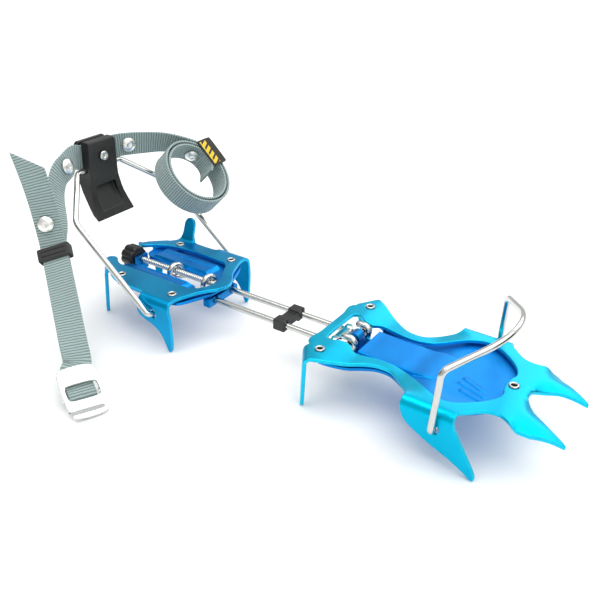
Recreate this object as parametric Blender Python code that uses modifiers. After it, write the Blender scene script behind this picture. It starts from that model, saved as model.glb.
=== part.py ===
"""Ten-point step-in crampon: a toe section and a heel section of bent sheet, joined by two sliding rods.

The frame is +X towards the toe, +Y to the wearer's left, +Z up. The origin lies on the sole face of the toe plate's
rear cross-member, on the centre plane, so the ground is GROUND below it. Sizes are in millimetres; MM turns them
into Blender's metres. Outlines are (x, y) lists on the flat sheet, before its bends.
"""

import math

import bmesh
import bpy
from mathutils import Matrix, Vector
from mathutils.geometry import delaunay_2d_cdt

MM = 0.001
GAP = 0.3  # left between pieces that touch

# Sheet sections
GROUND = -36.5  # spike tips
SHEET = 2.4
INSERT_SHEET = 2.0
DIP = 3.0  # how far the toe plate's waist lies below its two ends
INSERT_TOP = -3.6  # upper face of an insert, where it lies under its plate
INSERT_MID = INSERT_TOP - INSERT_SHEET / 2

# Toe flanges, which carry the second row of points
TOE_BEND_Y = 39.5
TOE_BEND_RADIUS = 4.5
TOE_BEND_ANGLE = math.radians(94)
TOE_PIVOT = (86.6, -11.9)  # x and z of the front bail's holes

# Heel flanges, which carry the heel's front points
HEEL_BEND_Y = 38.3
HEEL_BEND_RADIUS = 4.0
HEEL_BEND_ANGLE = math.radians(93)
HEEL_PIVOT = (-110.8, -10.8)  # x and z of the heel bail's holes
PIVOT_HOLE_RADIUS = 3.1

# Link
WIRE = 4.0
FRONT_WIRE = 3.8
ROD_Y = 8.7
ROD_Z = -8.2
PIN_RADIUS = 1.5
PIN_X = 14.8
EYE_RADIUS = PIN_RADIUS + GAP + WIRE / 2
PIN_Z = ROD_Z + EYE_RADIUS
SPINDLE_RADIUS = 2.0
SPINDLE_Z = -3.0
HOOK_RADIUS = SPINDLE_RADIUS + WIRE / 2 + 0.4
SLIDER_X = -33.9

# Lever and strap
CROSSBAR = (-193.9, 58.3)  # x and z of the heel bail's crossbar
WEB_WIDTH = 16.5
WEB = 1.5  # webbing thickness
LAYERS = 1.9  # between the middles of two layers of webbing
COIL_CENTRE = Vector((-151.8, 47.7, 46.3))
COIL_AXIS = Vector((0.69, 0.03, 0.72)).normalized()
COIL_RADIUS = 27.0
COIL_START, COIL_END = math.radians(30), math.radians(828)
COIL_STEP = 2.7

# Buckle: its middle, the direction across it and the direction up the strap
BUCKLE = Vector((-101.5, -112.3, -26.6))
BUCKLE_ACROSS = Vector((0.39, 0.92, -0.05)).normalized()
BUCKLE_UP = Vector((-0.79, 0.36, 0.49))
BUCKLE_UP = (BUCKLE_UP - BUCKLE_UP.dot(BUCKLE_ACROSS) * BUCKLE_ACROSS).normalized()
BUCKLE_FACE = BUCKLE_ACROSS.cross(BUCKLE_UP)
BUCKLE_SIZE = (24.4, 34.0, 2.0)
BUCKLE_BAR = (-0.5, -4.9)  # the webbing's bar, up the buckle and out of its face
BAR_RADIUS = 1.25


# ---------------------------------------------------------------- scene, materials and bodies

def clear_scene():
    for thing in list(bpy.data.objects):
        bpy.data.objects.remove(thing, do_unlink=True)


def collection(name, hidden=False):
    made = bpy.data.collections.new(name)
    bpy.context.scene.collection.children.link(made)
    made.hide_render = hidden
    return made


def material(name, colour, roughness, metallic):
    made = bpy.data.materials.new(name)
    made.use_nodes = True
    shader = made.node_tree.nodes["Principled BSDF"]
    shader.inputs["Base Color"].default_value = (*colour, 1)
    shader.inputs["Roughness"].default_value = roughness
    shader.inputs["Metallic"].default_value = metallic
    return made


LOOKS = {
    "toe_blue": ((0.0, 0.42, 0.80), 0.32, 0.9),
    "heel_blue": ((0.01, 0.26, 0.74), 0.32, 0.9),
    "insert_blue": ((0.02, 0.24, 0.80), 0.35, 0.85),
    "steel": ((0.80, 0.80, 0.79), 0.18, 1.0),
    "black_plastic": ((0.015, 0.015, 0.016), 0.42, 0.0),
    "black_rubber": ((0.02, 0.02, 0.02), 0.65, 0.0),
    "webbing": ((0.40, 0.48, 0.46), 0.85, 0.0),
    "label": ((0.015, 0.014, 0.012), 0.8, 0.0),
}


def finish(thing, look, body):
    """Gives a piece its own material, its collection and its body's empty, which stands on the body's joint."""
    thing.data.materials.append(material(thing.name + "_" + look, *LOOKS[look]))
    for home in list(thing.users_collection):
        home.objects.unlink(thing)
    PARTS.objects.link(thing)
    if body:
        thing.parent = BODIES[body]
        thing.location = thing.location - BODIES[body].location
    return thing


def body_empty(name, point):
    empty = bpy.data.objects.new(name, None)
    empty.location = Vector(point) * MM
    PARTS.objects.link(empty)
    return empty


# ---------------------------------------------------------------- shapes

def mesh_object(name, bm, smooth=30):
    """Takes a bmesh in millimetres and makes the object in metres."""
    bmesh.ops.scale(bm, vec=(MM, MM, MM), verts=bm.verts)
    bmesh.ops.recalc_face_normals(bm, faces=bm.faces)
    mesh = bpy.data.meshes.new(name)
    bm.to_mesh(mesh)
    bm.free()
    mesh.shade_smooth()
    mesh.set_sharp_from_angle(angle=math.radians(smooth))
    made = bpy.data.objects.new(name, mesh)
    bpy.context.scene.collection.objects.link(made)
    return made


def axes(across, up):
    """A rotation whose x runs across, whose y runs up and whose z is their cross product."""
    return Matrix((across, up, across.cross(up))).transposed().to_4x4()


def box(bm, size, centre, turn=None):
    matrix = Matrix.Translation(Vector(centre)) @ (turn or Matrix.Identity(4)) @ Matrix.Diagonal((*size, 1))
    return bmesh.ops.create_cube(bm, size=1, matrix=matrix)["verts"]


def rod(bm, start, end, radius, segments=20):
    start, end = Vector(start), Vector(end)
    turn = (end - start).to_track_quat("Z", "Y").to_matrix().to_4x4()
    matrix = Matrix.Translation((start + end) / 2) @ turn
    bmesh.ops.create_cone(bm, cap_ends=True, segments=segments, radius1=radius, radius2=radius,
                          depth=(end - start).length, matrix=matrix)


def cutter(name, *shapes):
    """A hidden helper made of (function, arguments) shapes."""
    bm = bmesh.new()
    for make, arguments in shapes:
        make(bm, *arguments)
    made = mesh_object(name, bm)
    for home in list(made.users_collection):
        home.objects.unlink(made)
    CUTTERS.objects.link(made)
    made.hide_render = True
    made.display_type = "WIRE"
    return made


def boolean(thing, other, operation="DIFFERENCE"):
    modifier = thing.modifiers.new(operation.lower(), "BOOLEAN")
    modifier.operation = operation
    modifier.object = other


def bevel(thing, width, segments=2):
    modifier = thing.modifiers.new("bevel", "BEVEL")
    modifier.width = width * MM
    modifier.segments = segments
    modifier.limit_method = "ANGLE"
    modifier.angle_limit = math.radians(40)


def turned(name, profile, start, towards, steps=20):
    """A profile of (radius, height) from the top of the axis down to its foot, turned about the line from start."""
    bm = bmesh.new()
    points = [bm.verts.new((radius, 0, height)) for radius, height in profile]
    for first, second in zip(points, points[1:]):
        bm.edges.new((first, second))
    mesh = bpy.data.meshes.new(name)
    bmesh.ops.scale(bm, vec=(MM, MM, MM), verts=bm.verts)
    bm.to_mesh(mesh)
    bm.free()
    made = bpy.data.objects.new(name, mesh)
    bpy.context.scene.collection.objects.link(made)
    made.location = Vector(start) * MM
    made.rotation_euler = Vector(towards).to_track_quat("Z", "Y").to_euler()
    screw = made.modifiers.new("turn", "SCREW")
    screw.steps = screw.render_steps = steps
    screw.use_merge_vertices = True
    screw.merge_threshold = 1e-5
    return made


def smooth_step(value, low, high):
    share = min(1.0, max(0.0, (value - low) / (high - low)))
    return share * share * (3 - 2 * share)


def through(points, per_span):
    """A smooth curve through the points, with per_span samples between each two (Catmull-Rom)."""
    points = [Vector(point) for point in points]
    ends = [2 * points[0] - points[1], *points, 2 * points[-1] - points[-2]]
    found = []
    for a, b, c, d in zip(ends, ends[1:], ends[2:], ends[3:]):
        for step in range(per_span):
            t = step / per_span
            found.append(b + 0.5 * t * ((c - a) + t * ((2 * a - 5 * b + 4 * c - d) + t * (3 * b - a - 3 * c + d))))
    return found + [points[-1]]


def rounded(corners, radii, steps=6):
    """A polyline through the corners, each turned into an arc of its radius."""
    corners = [Vector(corner) for corner in corners]
    found = [corners[0]]
    for before, here, after, radius in zip(corners, corners[1:], corners[2:], radii):
        back, ahead = (before - here).normalized(), (after - here).normalized()
        half = back.angle(ahead) / 2
        reach = radius / math.tan(half)
        centre = here + (back + ahead).normalized() * radius / math.sin(half)
        first, last = here + back * reach - centre, here + ahead * reach - centre
        sweep = first.angle(last)
        for step in range(steps + 1):
            t = step / steps
            arm = (math.sin((1 - t) * sweep) * first + math.sin(t * sweep) * last) / math.sin(sweep)
            found.append(centre + arm)
    return found + [corners[-1]]


def mirrored(half):
    """A wire's half from its end on the -Y side to the centre plane, and its mirror image."""
    return half + [Vector((p.x, -p.y, p.z)) for p in reversed(half[:-1] if abs(half[-1].y) < 1e-6 else half)]


def wire(name, points, diameter):
    curve = bpy.data.curves.new(name, "CURVE")
    curve.dimensions = "3D"
    curve.bevel_depth = diameter / 2 * MM
    curve.bevel_resolution = 2
    curve.use_fill_caps = True
    spline = curve.splines.new("POLY")
    spline.points.add(len(points) - 1)
    for point, place in zip(spline.points, points):
        point.co = (*(Vector(place) * MM), 1)
    made = bpy.data.objects.new(name, curve)
    bpy.context.scene.collection.objects.link(made)
    return made


def ribbon(name, route, sides, per_span, width=WEB_WIDTH, thickness=WEB):
    """Webbing along a smooth route; sides are the directions across it at the route's points."""
    middles, across = through(route, per_span), through(sides, per_span)
    bm = bmesh.new()
    rings = []
    for index, middle in enumerate(middles):
        along = (middles[min(index + 1, len(middles) - 1)] - middles[max(index - 1, 0)]).normalized()
        side = (across[index] - across[index].dot(along) * along).normalized() * width / 2
        face = along.cross(side).normalized() * thickness / 2
        rings.append([bm.verts.new(middle + side * a + face * b) for a, b in ((1, 1), (-1, 1), (-1, -1), (1, -1))])
    for first, second in zip(rings, rings[1:]):
        for k in range(4):
            bm.faces.new((first[k], first[(k + 1) % 4], second[(k + 1) % 4], second[k]))
    bm.faces.new(rings[0][::-1])
    bm.faces.new(rings[-1])
    return mesh_object(name, bm, 60)


def inside(point, outline):
    crossings = 0
    for (x0, y0), (x1, y1) in zip(outline, outline[1:] + outline[:1]):
        if (y0 > point[1]) != (y1 > point[1]):
            crossings += point[0] < x0 + (x1 - x0) * (point[1] - y0) / (y1 - y0)
    return crossings % 2 == 1


def near_edge(point, outline, reach):
    for a, b in zip(outline, outline[1:] + outline[:1]):
        a, b, p = Vector(a), Vector(b), Vector(point)
        share = max(0.0, min(1.0, (p - a).dot(b - a) / max((b - a).length_squared, 1e-9)))
        if (a + share * (b - a) - p).length < reach:
            return True
    return False


def ring_of(centre, radius, count=12):
    return [(centre[0] + radius * math.cos(2 * math.pi * k / count),
             centre[1] + radius * math.sin(2 * math.pi * k / count)) for k in range(count)]


def sheet(name, outline, holes, thickness, shape, cell=8.0, lines=()):
    """Sheet metal: the flat blank is triangulated with a grid of cell, given its thickness, and formed by shape."""
    loops = [outline, *holes]
    points, edges = [], []
    for loop in loops:
        first = len(points)
        points += [Vector(p) for p in loop]
        edges += [(first + k, first + (k + 1) % len(loop)) for k in range(len(loop))]
    for line in lines:
        kept = [p for p in line if inside(p, outline) and not near_edge(p, outline, 0.4)]
        first = len(points)
        points += [Vector(p) for p in kept]
        edges += [(first + k, first + k + 1) for k in range(len(kept) - 1)]
    low = [min(p[k] for p in outline) for k in (0, 1)]
    high = [max(p[k] for p in outline) for k in (0, 1)]
    for i in range(1, int((high[0] - low[0]) / cell) + 1):
        for j in range(-int(high[1] / cell), int(high[1] / cell) + 1):
            spot = (low[0] + i * cell, j * cell)
            if inside(spot, outline) and not any(near_edge(spot, loop, cell * 0.5) for loop in loops):
                points.append(Vector(spot))
    flat, _, faces, *_ = delaunay_2d_cdt(points, edges, [], 0, 1e-4)
    kept = []
    for face in faces:
        middle = sum((flat[k] for k in face), Vector((0, 0))) / 3
        if inside(middle, outline) and not any(inside(middle, hole) for hole in holes):
            kept.append(face)
    used = sorted({k for face in kept for k in face})
    bm = bmesh.new()
    top = {k: bm.verts.new(shape(flat[k].x, flat[k].y, thickness / 2)) for k in used}
    foot = {k: bm.verts.new(shape(flat[k].x, flat[k].y, -thickness / 2)) for k in used}
    border = {}
    for face in kept:
        bm.faces.new([top[k] for k in face])
        bm.faces.new([foot[k] for k in reversed(face)])
        for a, b in zip(face, face[1:] + face[:1]):
            border[(a, b)] = border.get((b, a), 0) == 0
            if (b, a) in border:
                border[(a, b)] = border[(b, a)] = False
    for (a, b), outer in border.items():
        if outer:
            bm.faces.new((top[b], top[a], foot[a], foot[b]))
    return mesh_object(name, bm)


def folded(place, start, outward, angle, radius):
    """Rolls what lies beyond a bend line down by angle, round a bend whose radius is that of the sheet's middle."""
    outward = Vector((*outward, 0)).normalized()
    reach = (place - Vector((*start, place.z))).dot(outward)
    if reach <= 0:
        return place
    turned_by = min(reach / radius, angle)
    straight = max(0.0, reach - radius * angle)
    lift = radius + place.z
    along = math.sin(turned_by) * lift + math.cos(turned_by) * straight
    height = math.cos(turned_by) * lift - radius - math.sin(turned_by) * straight
    flat = place - reach * outward
    return Vector((flat.x, flat.y, 0)) + outward * along + Vector((0, 0, height))


# ---------------------------------------------------------------- toe section

def toe_dip(x):
    """The plate's waist lies lower than its ends."""
    return -DIP * smooth_step(x, 8, 28) * (1 - smooth_step(x, 54, 76))


SPIKE_START, SPIKE_END = Vector((0.0, 27.5)), Vector((8.9, 41.5))  # the bend line of a toe plate's rear spike
SPIKE_ALONG = (SPIKE_END - SPIKE_START).normalized()
SPIKE_OUT = Vector((-SPIKE_ALONG.y, SPIKE_ALONG.x))
SPIKE_RADIUS = 3.5


def on_spike(along, out):
    return tuple(SPIKE_START + SPIKE_ALONG * along + SPIKE_OUT * out)


def flange_point(x, z, bend_y, radius, angle):
    """Where a point of a finished flange, given by its x and height, lies on the flat blank."""
    return x, bend_y + radius * angle + (-z - SHEET / 2 - radius) / math.sin(angle)


def toe_flange(x, z):
    return flange_point(x, z, TOE_BEND_Y, TOE_BEND_RADIUS, TOE_BEND_ANGLE)


def toe_half():
    rear = [(-2.6, 15), (-4.2, 21), (-3.0, 26)]
    spike = [on_spike(*p) for p in ((0, 0), (1.2, 5), (5.0, 22), (8.2, 34), (9.3, 36.4), (11, 37.2), (12.6, 36.2),
                                    (13.6, 30), (15.4, 9), (16.6, 0))]
    side = [(13.5, 39.0), (19.0, 34.9), (27.0, 29.2), (33.0, 24.9), (38.5, 21.9), (45.0, 21.1), (50.0, 22.0),
            (56.0, 26.8), (61.5, 31.8), (65.0, 35.4), (66.4, 38.0)]
    flange = [toe_flange(*p) for p in ((66.3, -4.0), (67.7, -9.8), (70.2, -13.9), (77.1, -18.3), (84.7, -22.5),
                                       (91.7, -25.7), (98.6, -28.9), (105.6, -33.2), (108.6, -35.6), (110.2, -36.4),
                                       (111.4, -35.4), (111.2, -32.6), (107.9, -25.9), (103.7, -18.3),
                                       (99.5, -10.8), (97.0, -6.0))]
    front = [(96.6, 39.0), (100.2, 36.6), (104.4, 32.0), (109.0, 28.6), (115.4, 27.8), (121.7, 31.0), (126.2, 30.6),
             (131.4, 28.6), (137.2, 26.1), (143.2, 23.7), (147.0, 22.4), (148.3, 21.2), (147.4, 19.9),
             (141.5, 18.2), (134.5, 15.4), (128.5, 11.6), (124.0, 7.4), (121.2, 3.0)]
    return rear + spike + side + flange + front


TOE_WINDOW_HALF = [(3.2, 15.5), (5.6, 17.6), (8.6, 16.6), (11.5, 14.2), (16.5, 13.2), (19.2, 13.8), (21.3, 16.6),
                   (24.6, 18.0), (29.5, 17.0), (38.0, 15.4), (47.0, 15.1), (55.0, 17.2), (62.0, 21.2), (68.5, 26.0),
                   (76.5, 31.0), (82.0, 33.5), (87.5, 33.8), (93.7, 31.0), (102.0, 24.2), (107.0, 18.4),
                   (109.6, 13.0), (109.8, 9.0), (108.0, 5.0)]


def both_sides(half):
    return half + [(x, -y) for x, y in reversed(half)]


def toe_point_curve(x, y):
    """The front points droop towards their tips and are crowned across their width."""
    droop = -10 * max(0.0, (x - 113) / 35) ** 1.7
    ridge = 17 + 5 * (x - 112) / 36
    crown = -0.035 * (abs(y) - ridge) ** 2 * smooth_step(x, 119, 130)
    return droop + max(crown, -2.6)


def toe_shape(x, y, h):
    side = 1 if y >= 0 else -1
    place = Vector((x, abs(y), h))
    if 60 < x < 114 and place.y > TOE_BEND_Y:
        place = folded(place, (x, TOE_BEND_Y), (0, 1), TOE_BEND_ANGLE, TOE_BEND_RADIUS)
    elif x < 12 and place.y > 20:
        place = folded(place, SPIKE_START, SPIKE_OUT, math.radians(88.5), SPIKE_RADIUS)
    flat_part = 1 - smooth_step(abs(y), 33, 39) * smooth_step(x, 50, 62)
    place.z += toe_dip(x) * flat_part + toe_point_curve(x, y) - SHEET / 2
    place.y *= side
    return place


def bend_lines(bend_y, radius, angle, low, high):
    count = 4
    return [[(low, side * (bend_y + radius * angle * k / count)), (high, side * (bend_y + radius * angle * k / count))]
            for k in range(count + 1) for side in (-1, 1)]


def toe_plate():
    lines = []
    for side in (-1, 1):
        for k in range(4):
            out = SPIKE_RADIUS * math.radians(88.5) * k / 3
            first, last = on_spike(1.6, out), on_spike(15.2, out)
            lines.append([(first[0], side * first[1]), (last[0], side * last[1])])
    for k in range(5):
        y = TOE_BEND_Y + TOE_BEND_RADIUS * TOE_BEND_ANGLE * k / 4
        lines += [[(68.0, side * y), (96.0, side * y)] for side in (-1, 1)]
    rivets = [ring_of((112, 0), 2.7), ring_of((7.6, 29.9), 2.7), ring_of((7.6, -29.9), 2.7)]
    pivot = toe_flange(*TOE_PIVOT)
    pivots = [ring_of((pivot[0], side * pivot[1]), PIVOT_HOLE_RADIUS) for side in (-1, 1)]
    outline = both_sides([(-2.6, 5.0)] + toe_half())
    made = sheet("toe_plate", outline, [both_sides(TOE_WINDOW_HALF), *rivets, *pivots], SHEET, toe_shape, 7.0, lines)
    return finish(made, "toe_blue", None)


TONGUE = (23.5, 13.4, 14.6)  # rear end, half width on top and at the foot
TONGUE_RISE = 2.6


def toe_insert_shape(x, y, h):
    """Follows the plate's underside, with a tongue pressed up into the window."""
    rise = TONGUE_RISE * (1 - smooth_step(abs(y), TONGUE[1], TONGUE[2])) * (1 - smooth_step(x, 50, 80))
    return Vector((x, y, INSERT_MID + h + 1.15 * toe_dip(x) + rise))


def toe_insert():
    half = [(23.5, 13.2), (23.6, 20.4), (14, 22.0), (4.0, 23.5), (2.2, 30), (5.0, 35.5), (12.5, 36.5), (24, 30),
            (33, 23.4), (40, 19.8), (48, 19.6), (56, 24.0), (66, 32.0), (76, 36.3), (88, 37.3), (96, 34.5),
            (104, 28.5), (110, 21.0), (114.4, 12.0), (116.0, 5.0)]
    lines = [[(x, side * y) for x in (24.5, 32, 40, 48, 56, 64, 72, 80)] for y in TONGUE[1:] for side in (-1, 1)]
    rivets = [ring_of((112, 0), 2.7), ring_of((7.6, 29.9), 2.7), ring_of((7.6, -29.9), 2.7)]
    made = sheet("toe_insert", both_sides(half), rivets, INSERT_SHEET, toe_insert_shape, 9.0, lines)
    return finish(made, "insert_blue", None)


def rivet(name, x, y, body):
    """A tubular rivet: a domed head on the sole face, a hollow shank and a rolled foot under the insert."""
    foot = INSERT_TOP - INSERT_SHEET
    profile = [(0, -1.6), (1.1, -1.6), (1.1, 0.75), (1.7, 0.95), (2.6, 0.8), (3.0, 0.25), (3.0, 0.2), (2.35, 0.2),
               (2.35, foot - 0.25), (3.3, foot - 0.3), (3.0, foot - 1.1), (0, foot - 1.2)]
    return finish(turned(name, profile, (x, y, 0), (0, 0, 1), 14), "steel", body)


def hinge_bracket():
    """A folded bracket under the rods: its plate runs below the insert and its lug carries the pin between them."""
    bm = bmesh.new()
    box(bm, (26.0, 22.0, 1.6), (23.5, 0, -11.7))
    made = mesh_object("hinge_bracket", bm)
    boolean(made, cutter("lug_shape", (box, ((8.0, 6.6, 8.6), (PIN_X, 0, -7.8)))), "UNION")
    boolean(made, cutter("lug_head", (rod, ((PIN_X, -3.3, PIN_Z), (PIN_X, 3.3, PIN_Z), 4.0))), "UNION")
    boolean(made, cutter("pin_bore", (rod, ((PIN_X, -5, PIN_Z), (PIN_X, 5, PIN_Z), PIN_RADIUS + GAP))))
    return finish(made, "insert_blue", None)


def hinge_pin():
    profile = [(0, 13.2), (2.2, 13.2), (2.4, 12.8), (2.4, 11.6), (PIN_RADIUS, 11.4), (PIN_RADIUS, -11.4),
               (2.4, -11.6), (2.4, -12.8), (2.2, -13.2), (0, -13.2)]
    return finish(turned("hinge_pin", profile, (PIN_X, 0, PIN_Z), (0, 1, 0), 16), "steel", None)


# ---------------------------------------------------------------- link

def eye(side):
    """The rod's front end, curled up round the hinge pin and laid back over it."""
    top = PIN_Z + EYE_RADIUS
    found = [Vector((PIN_X - 4.6, side * ROD_Y, top - 0.5)), Vector((PIN_X - 1.6, side * ROD_Y, top))]
    for degrees in range(80, -91, -17):
        turn = math.radians(degrees)
        found.append(Vector((PIN_X + EYE_RADIUS * math.cos(turn), side * ROD_Y, PIN_Z + EYE_RADIUS * math.sin(turn))))
    return found


def hook(x_start, x_end, from_degrees, to_degrees):
    """The rod's rear end, wrapped over the spindle so that it sits in the thread."""
    found = []
    for step in range(10):
        t = step / 9
        turn = math.radians(from_degrees + t * (to_degrees - from_degrees))
        found.append(Vector((x_start + t * (x_end - x_start), HOOK_RADIUS * math.cos(turn),
                             SPINDLE_Z + HOOK_RADIUS * math.sin(turn))))
    return found


def link_rods():
    right = eye(-1) + [Vector((x, -ROD_Y, ROD_Z)) for x in (-40.0, -92.6)]
    right += through([(-92.6, -ROD_Y, ROD_Z), (-96.2, -8.2, -8.4), (-99.0, -6.2, -8.5), (-100.3, -4.7, -7.4)], 2)[1:]
    right += hook(-100.6, -97.6, 205, -12)
    finish(wire("link_rod_right", right, WIRE), "steel", "link")
    left = eye(1) + [Vector((x, ROD_Y, ROD_Z)) for x in (-60.0, -121.0)]
    left += through([(-121.0, ROD_Y, ROD_Z), (-125.0, 7.6, -8.2), (-128.4, 3.8, -8.4), (-130.2, -0.8, -8.3)], 2)[1:]
    left += hook(-130.6, -126.8, 218, -12)
    finish(wire("link_rod_left", left, WIRE), "steel", "link")


def rod_saddle():
    """A pressed steel keeper that spans the two rods behind their eyes."""
    outline = both_sides([(2.6, 11.6), (6.4, 11.8), (7.8, 8.0), (8.6, 3.0)])

    def shape(x, y, h):
        rise = 1.0 * (1 - smooth_step(abs(abs(y) - ROD_Y), 0.8, 3.0))
        return Vector((x, y, -5.4 + h + rise))

    lines = [[(3.2, y), (7.0, y)] for y in (-10.6, -8.7, -6.8, -5.6, 5.6, 6.8, 8.7, 10.6)]
    return finish(sheet("rod_saddle", outline, [], 1.4, shape, 3.0, lines), "steel", "link")


def rod_slider():
    """A moulded clip with a bore for each rod and a waist between them."""
    bm = bmesh.new()
    box(bm, (8.6, 24.2, 7.4), (SLIDER_X, 0, ROD_Z))
    made = mesh_object("rod_slider", bm)
    boolean(made, cutter("slider_waist", (box, ((12.0, 9.0, 3.0), (SLIDER_X, 0, ROD_Z + 3.6))),
                         (box, ((12.0, 9.0, 3.0), (SLIDER_X, 0, ROD_Z - 3.6)))))
    bevel(made, 0.8, 1)
    bores = [(rod, ((SLIDER_X - 8, side * ROD_Y, ROD_Z), (SLIDER_X + 8, side * ROD_Y, ROD_Z), WIRE / 2 + GAP, 12))
             for side in (-1, 1)]
    boolean(made, cutter("slider_bores", *bores))
    return finish(made, "black_plastic", "slider")


# ---------------------------------------------------------------- heel section

REAR_START, REAR_END = Vector((-161.2, 28.9)), Vector((-169.6, 20.9))  # bend line of a heel plate's rear spike
REAR_ALONG = (REAR_END - REAR_START).normalized()
REAR_OUT = Vector((REAR_ALONG.y, -REAR_ALONG.x))
REAR_RADIUS = 3.2
TAB_Y = 33.6  # where the side tab starts to rise
TAB_RADIUS = 5.0
TAB_ANGLE = math.radians(72)


def on_rear(along, out):
    return tuple(REAR_START + REAR_ALONG * along + REAR_OUT * out)


def heel_flange(x, z):
    return flange_point(x, z, HEEL_BEND_Y, HEEL_BEND_RADIUS, HEEL_BEND_ANGLE)


def heel_half(tab):
    """From the front centre along one side to the rear opening."""
    front = [(-82.6, 2.5), (-84.5, 7.0), (-89.0, 13.0), (-92.4, 18.5), (-95.4, 26.5), (-98.0, 34.0), (-97.9, 37.6)]
    flange = [heel_flange(*p) for p in ((-96.9, -6.0), (-96.0, -14.0), (-96.4, -30.0), (-97.4, -35.4), (-98.8, -36.5),
                                        (-100.4, -35.2), (-104.4, -25.0), (-109.0, -20.6), (-114.5, -18.4),
                                        (-121.0, -16.4), (-124.3, -12.6), (-124.2, -8.0), (-122.6, -5.0))]
    side = [(-122.4, 38.6), (-124.4, 37.2)]
    if tab:
        side += [(-140.5, 37.4), (-143.4, 38.4), (-145.2, 41.5), (-145.4, 46.0), (-145.4, 50.5), (-147.0, 53.6),
                 (-150.0, 54.8), (-153.0, 53.6), (-154.6, 50.5), (-154.6, 46.0), (-154.9, 41.5), (-156.6, 38.0),
                 (-158.0, 33.8)]
    else:
        side += [(-134.0, 37.6), (-144.0, 37.4), (-152.0, 35.4), (-158.0, 32.6)]
    spike = [on_rear(*p) for p in ((0, 0), (1.6, 5), (4.4, 18), (6.2, 30), (7.0, 35.4), (8.1, 37.4), (9.3, 36.6),
                                   (10.4, 32.0), (11.8, 16.0), (12.0, 4.0), (11.8, 0))]
    lobe = [(-174.2, 21.6), (-177.0, 19.8), (-178.0, 17.0), (-177.0, 13.6), (-174.0, 11.8), (-170.6, 12.6)]
    return front + flange + side + spike + lobe


HEEL_RIM_LEFT = [(-168.4, 15.2), (-164.1, 19.1), (-155.2, 23.4), (-145.3, 25.2), (-133.4, 26.4), (-119.6, 26.0),
                 (-106.5, 25.2), (-102.8, 23.0), (-100.2, 18.0), (-96.0, 10.5), (-91.8, 4.6)]
HEEL_RIM_RIGHT = [(-91.8, -4.6), (-94.5, -12.0), (-98.0, -16.6), (-103.5, -17.8), (-121.0, -17.4), (-141.0, -17.8),
                  (-155.7, -18.0), (-162.6, -18.6), (-168.4, -15.2)]


def heel_shape(x, y, h):
    side = 1 if y >= 0 else -1
    place = Vector((x, abs(y), h))
    if -126 < x < -94 and place.y > HEEL_BEND_Y:
        place = folded(place, (x, HEEL_BEND_Y), (0, 1), HEEL_BEND_ANGLE, HEEL_BEND_RADIUS)
    elif -159 < x < -141 and side > 0 and place.y > TAB_Y:
        place = folded(Vector((x, place.y, -h)), (x, TAB_Y), (0, 1), TAB_ANGLE, TAB_RADIUS)
        share = smooth_step(abs(x + 150), 5.2, 8.5)
        place = Vector((place.x, place.y, -place.z)).lerp(Vector((x, abs(y), h)), share)
    elif x < -157 and place.y > 12:
        place = folded(place, REAR_START, REAR_OUT, math.radians(87), REAR_RADIUS)
    place.z -= SHEET / 2
    place.y *= side
    return place


def heel_plate():
    outline = heel_half(True) + HEEL_RIM_LEFT + HEEL_RIM_RIGHT + [(x, -y) for x, y in reversed(heel_half(False))]
    lines = []
    for side in (-1, 1):
        for k in range(4):
            out = REAR_RADIUS * math.radians(87) * k / 3
            first, last = on_rear(1.2, out), on_rear(10.6, out)
            lines.append([(first[0], side * first[1]), (last[0], side * last[1])])
        for k in range(5):
            y = HEEL_BEND_Y + HEEL_BEND_RADIUS * HEEL_BEND_ANGLE * k / 4
            lines.append([(-122.0, side * y), (-98.6, side * y)])
    for k in range(5):
        y = TAB_Y + TAB_RADIUS * TAB_ANGLE * k / 4
        lines.append([(-153.8, y), (-146.2, y)])
    pivot = heel_flange(*HEEL_PIVOT)
    holes = [ring_of((pivot[0], side * pivot[1]), PIVOT_HOLE_RADIUS) for side in (-1, 1)]
    holes += [ring_of((x, side * y), 2.7) for x, y in HEEL_RIVETS for side in (-1, 1)]
    made = sheet("heel_plate", outline, holes, SHEET, heel_shape, 7.0, lines)
    return finish(made, "heel_blue", "heel")


HEEL_RIVETS = ((-150.0, 29.4), (-104.2, 30.6))
SLOT_HALF = 6.8
PADS = ((8.2, 22.0), (-16.0, -8.2))  # y ranges of the insert's raised pads
PAD_RISE = 1.9


def heel_insert_shape(x, y, h):
    rise = 0.0
    for low, high in PADS:
        across = smooth_step(y, low - 0.2, low + 1.0) * (1 - smooth_step(y, high - 1.0, high + 0.2))
        groove = 0.35 * (1 - smooth_step(abs(y - (low + high) / 2 - 1.5), 0.6, 1.6))
        rise = max(rise, PAD_RISE * across - groove * across)
    rise *= smooth_step(x, -158, -155) * (1 - smooth_step(x, -109, -106))
    return Vector((x, y, INSERT_MID + h + rise))


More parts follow.
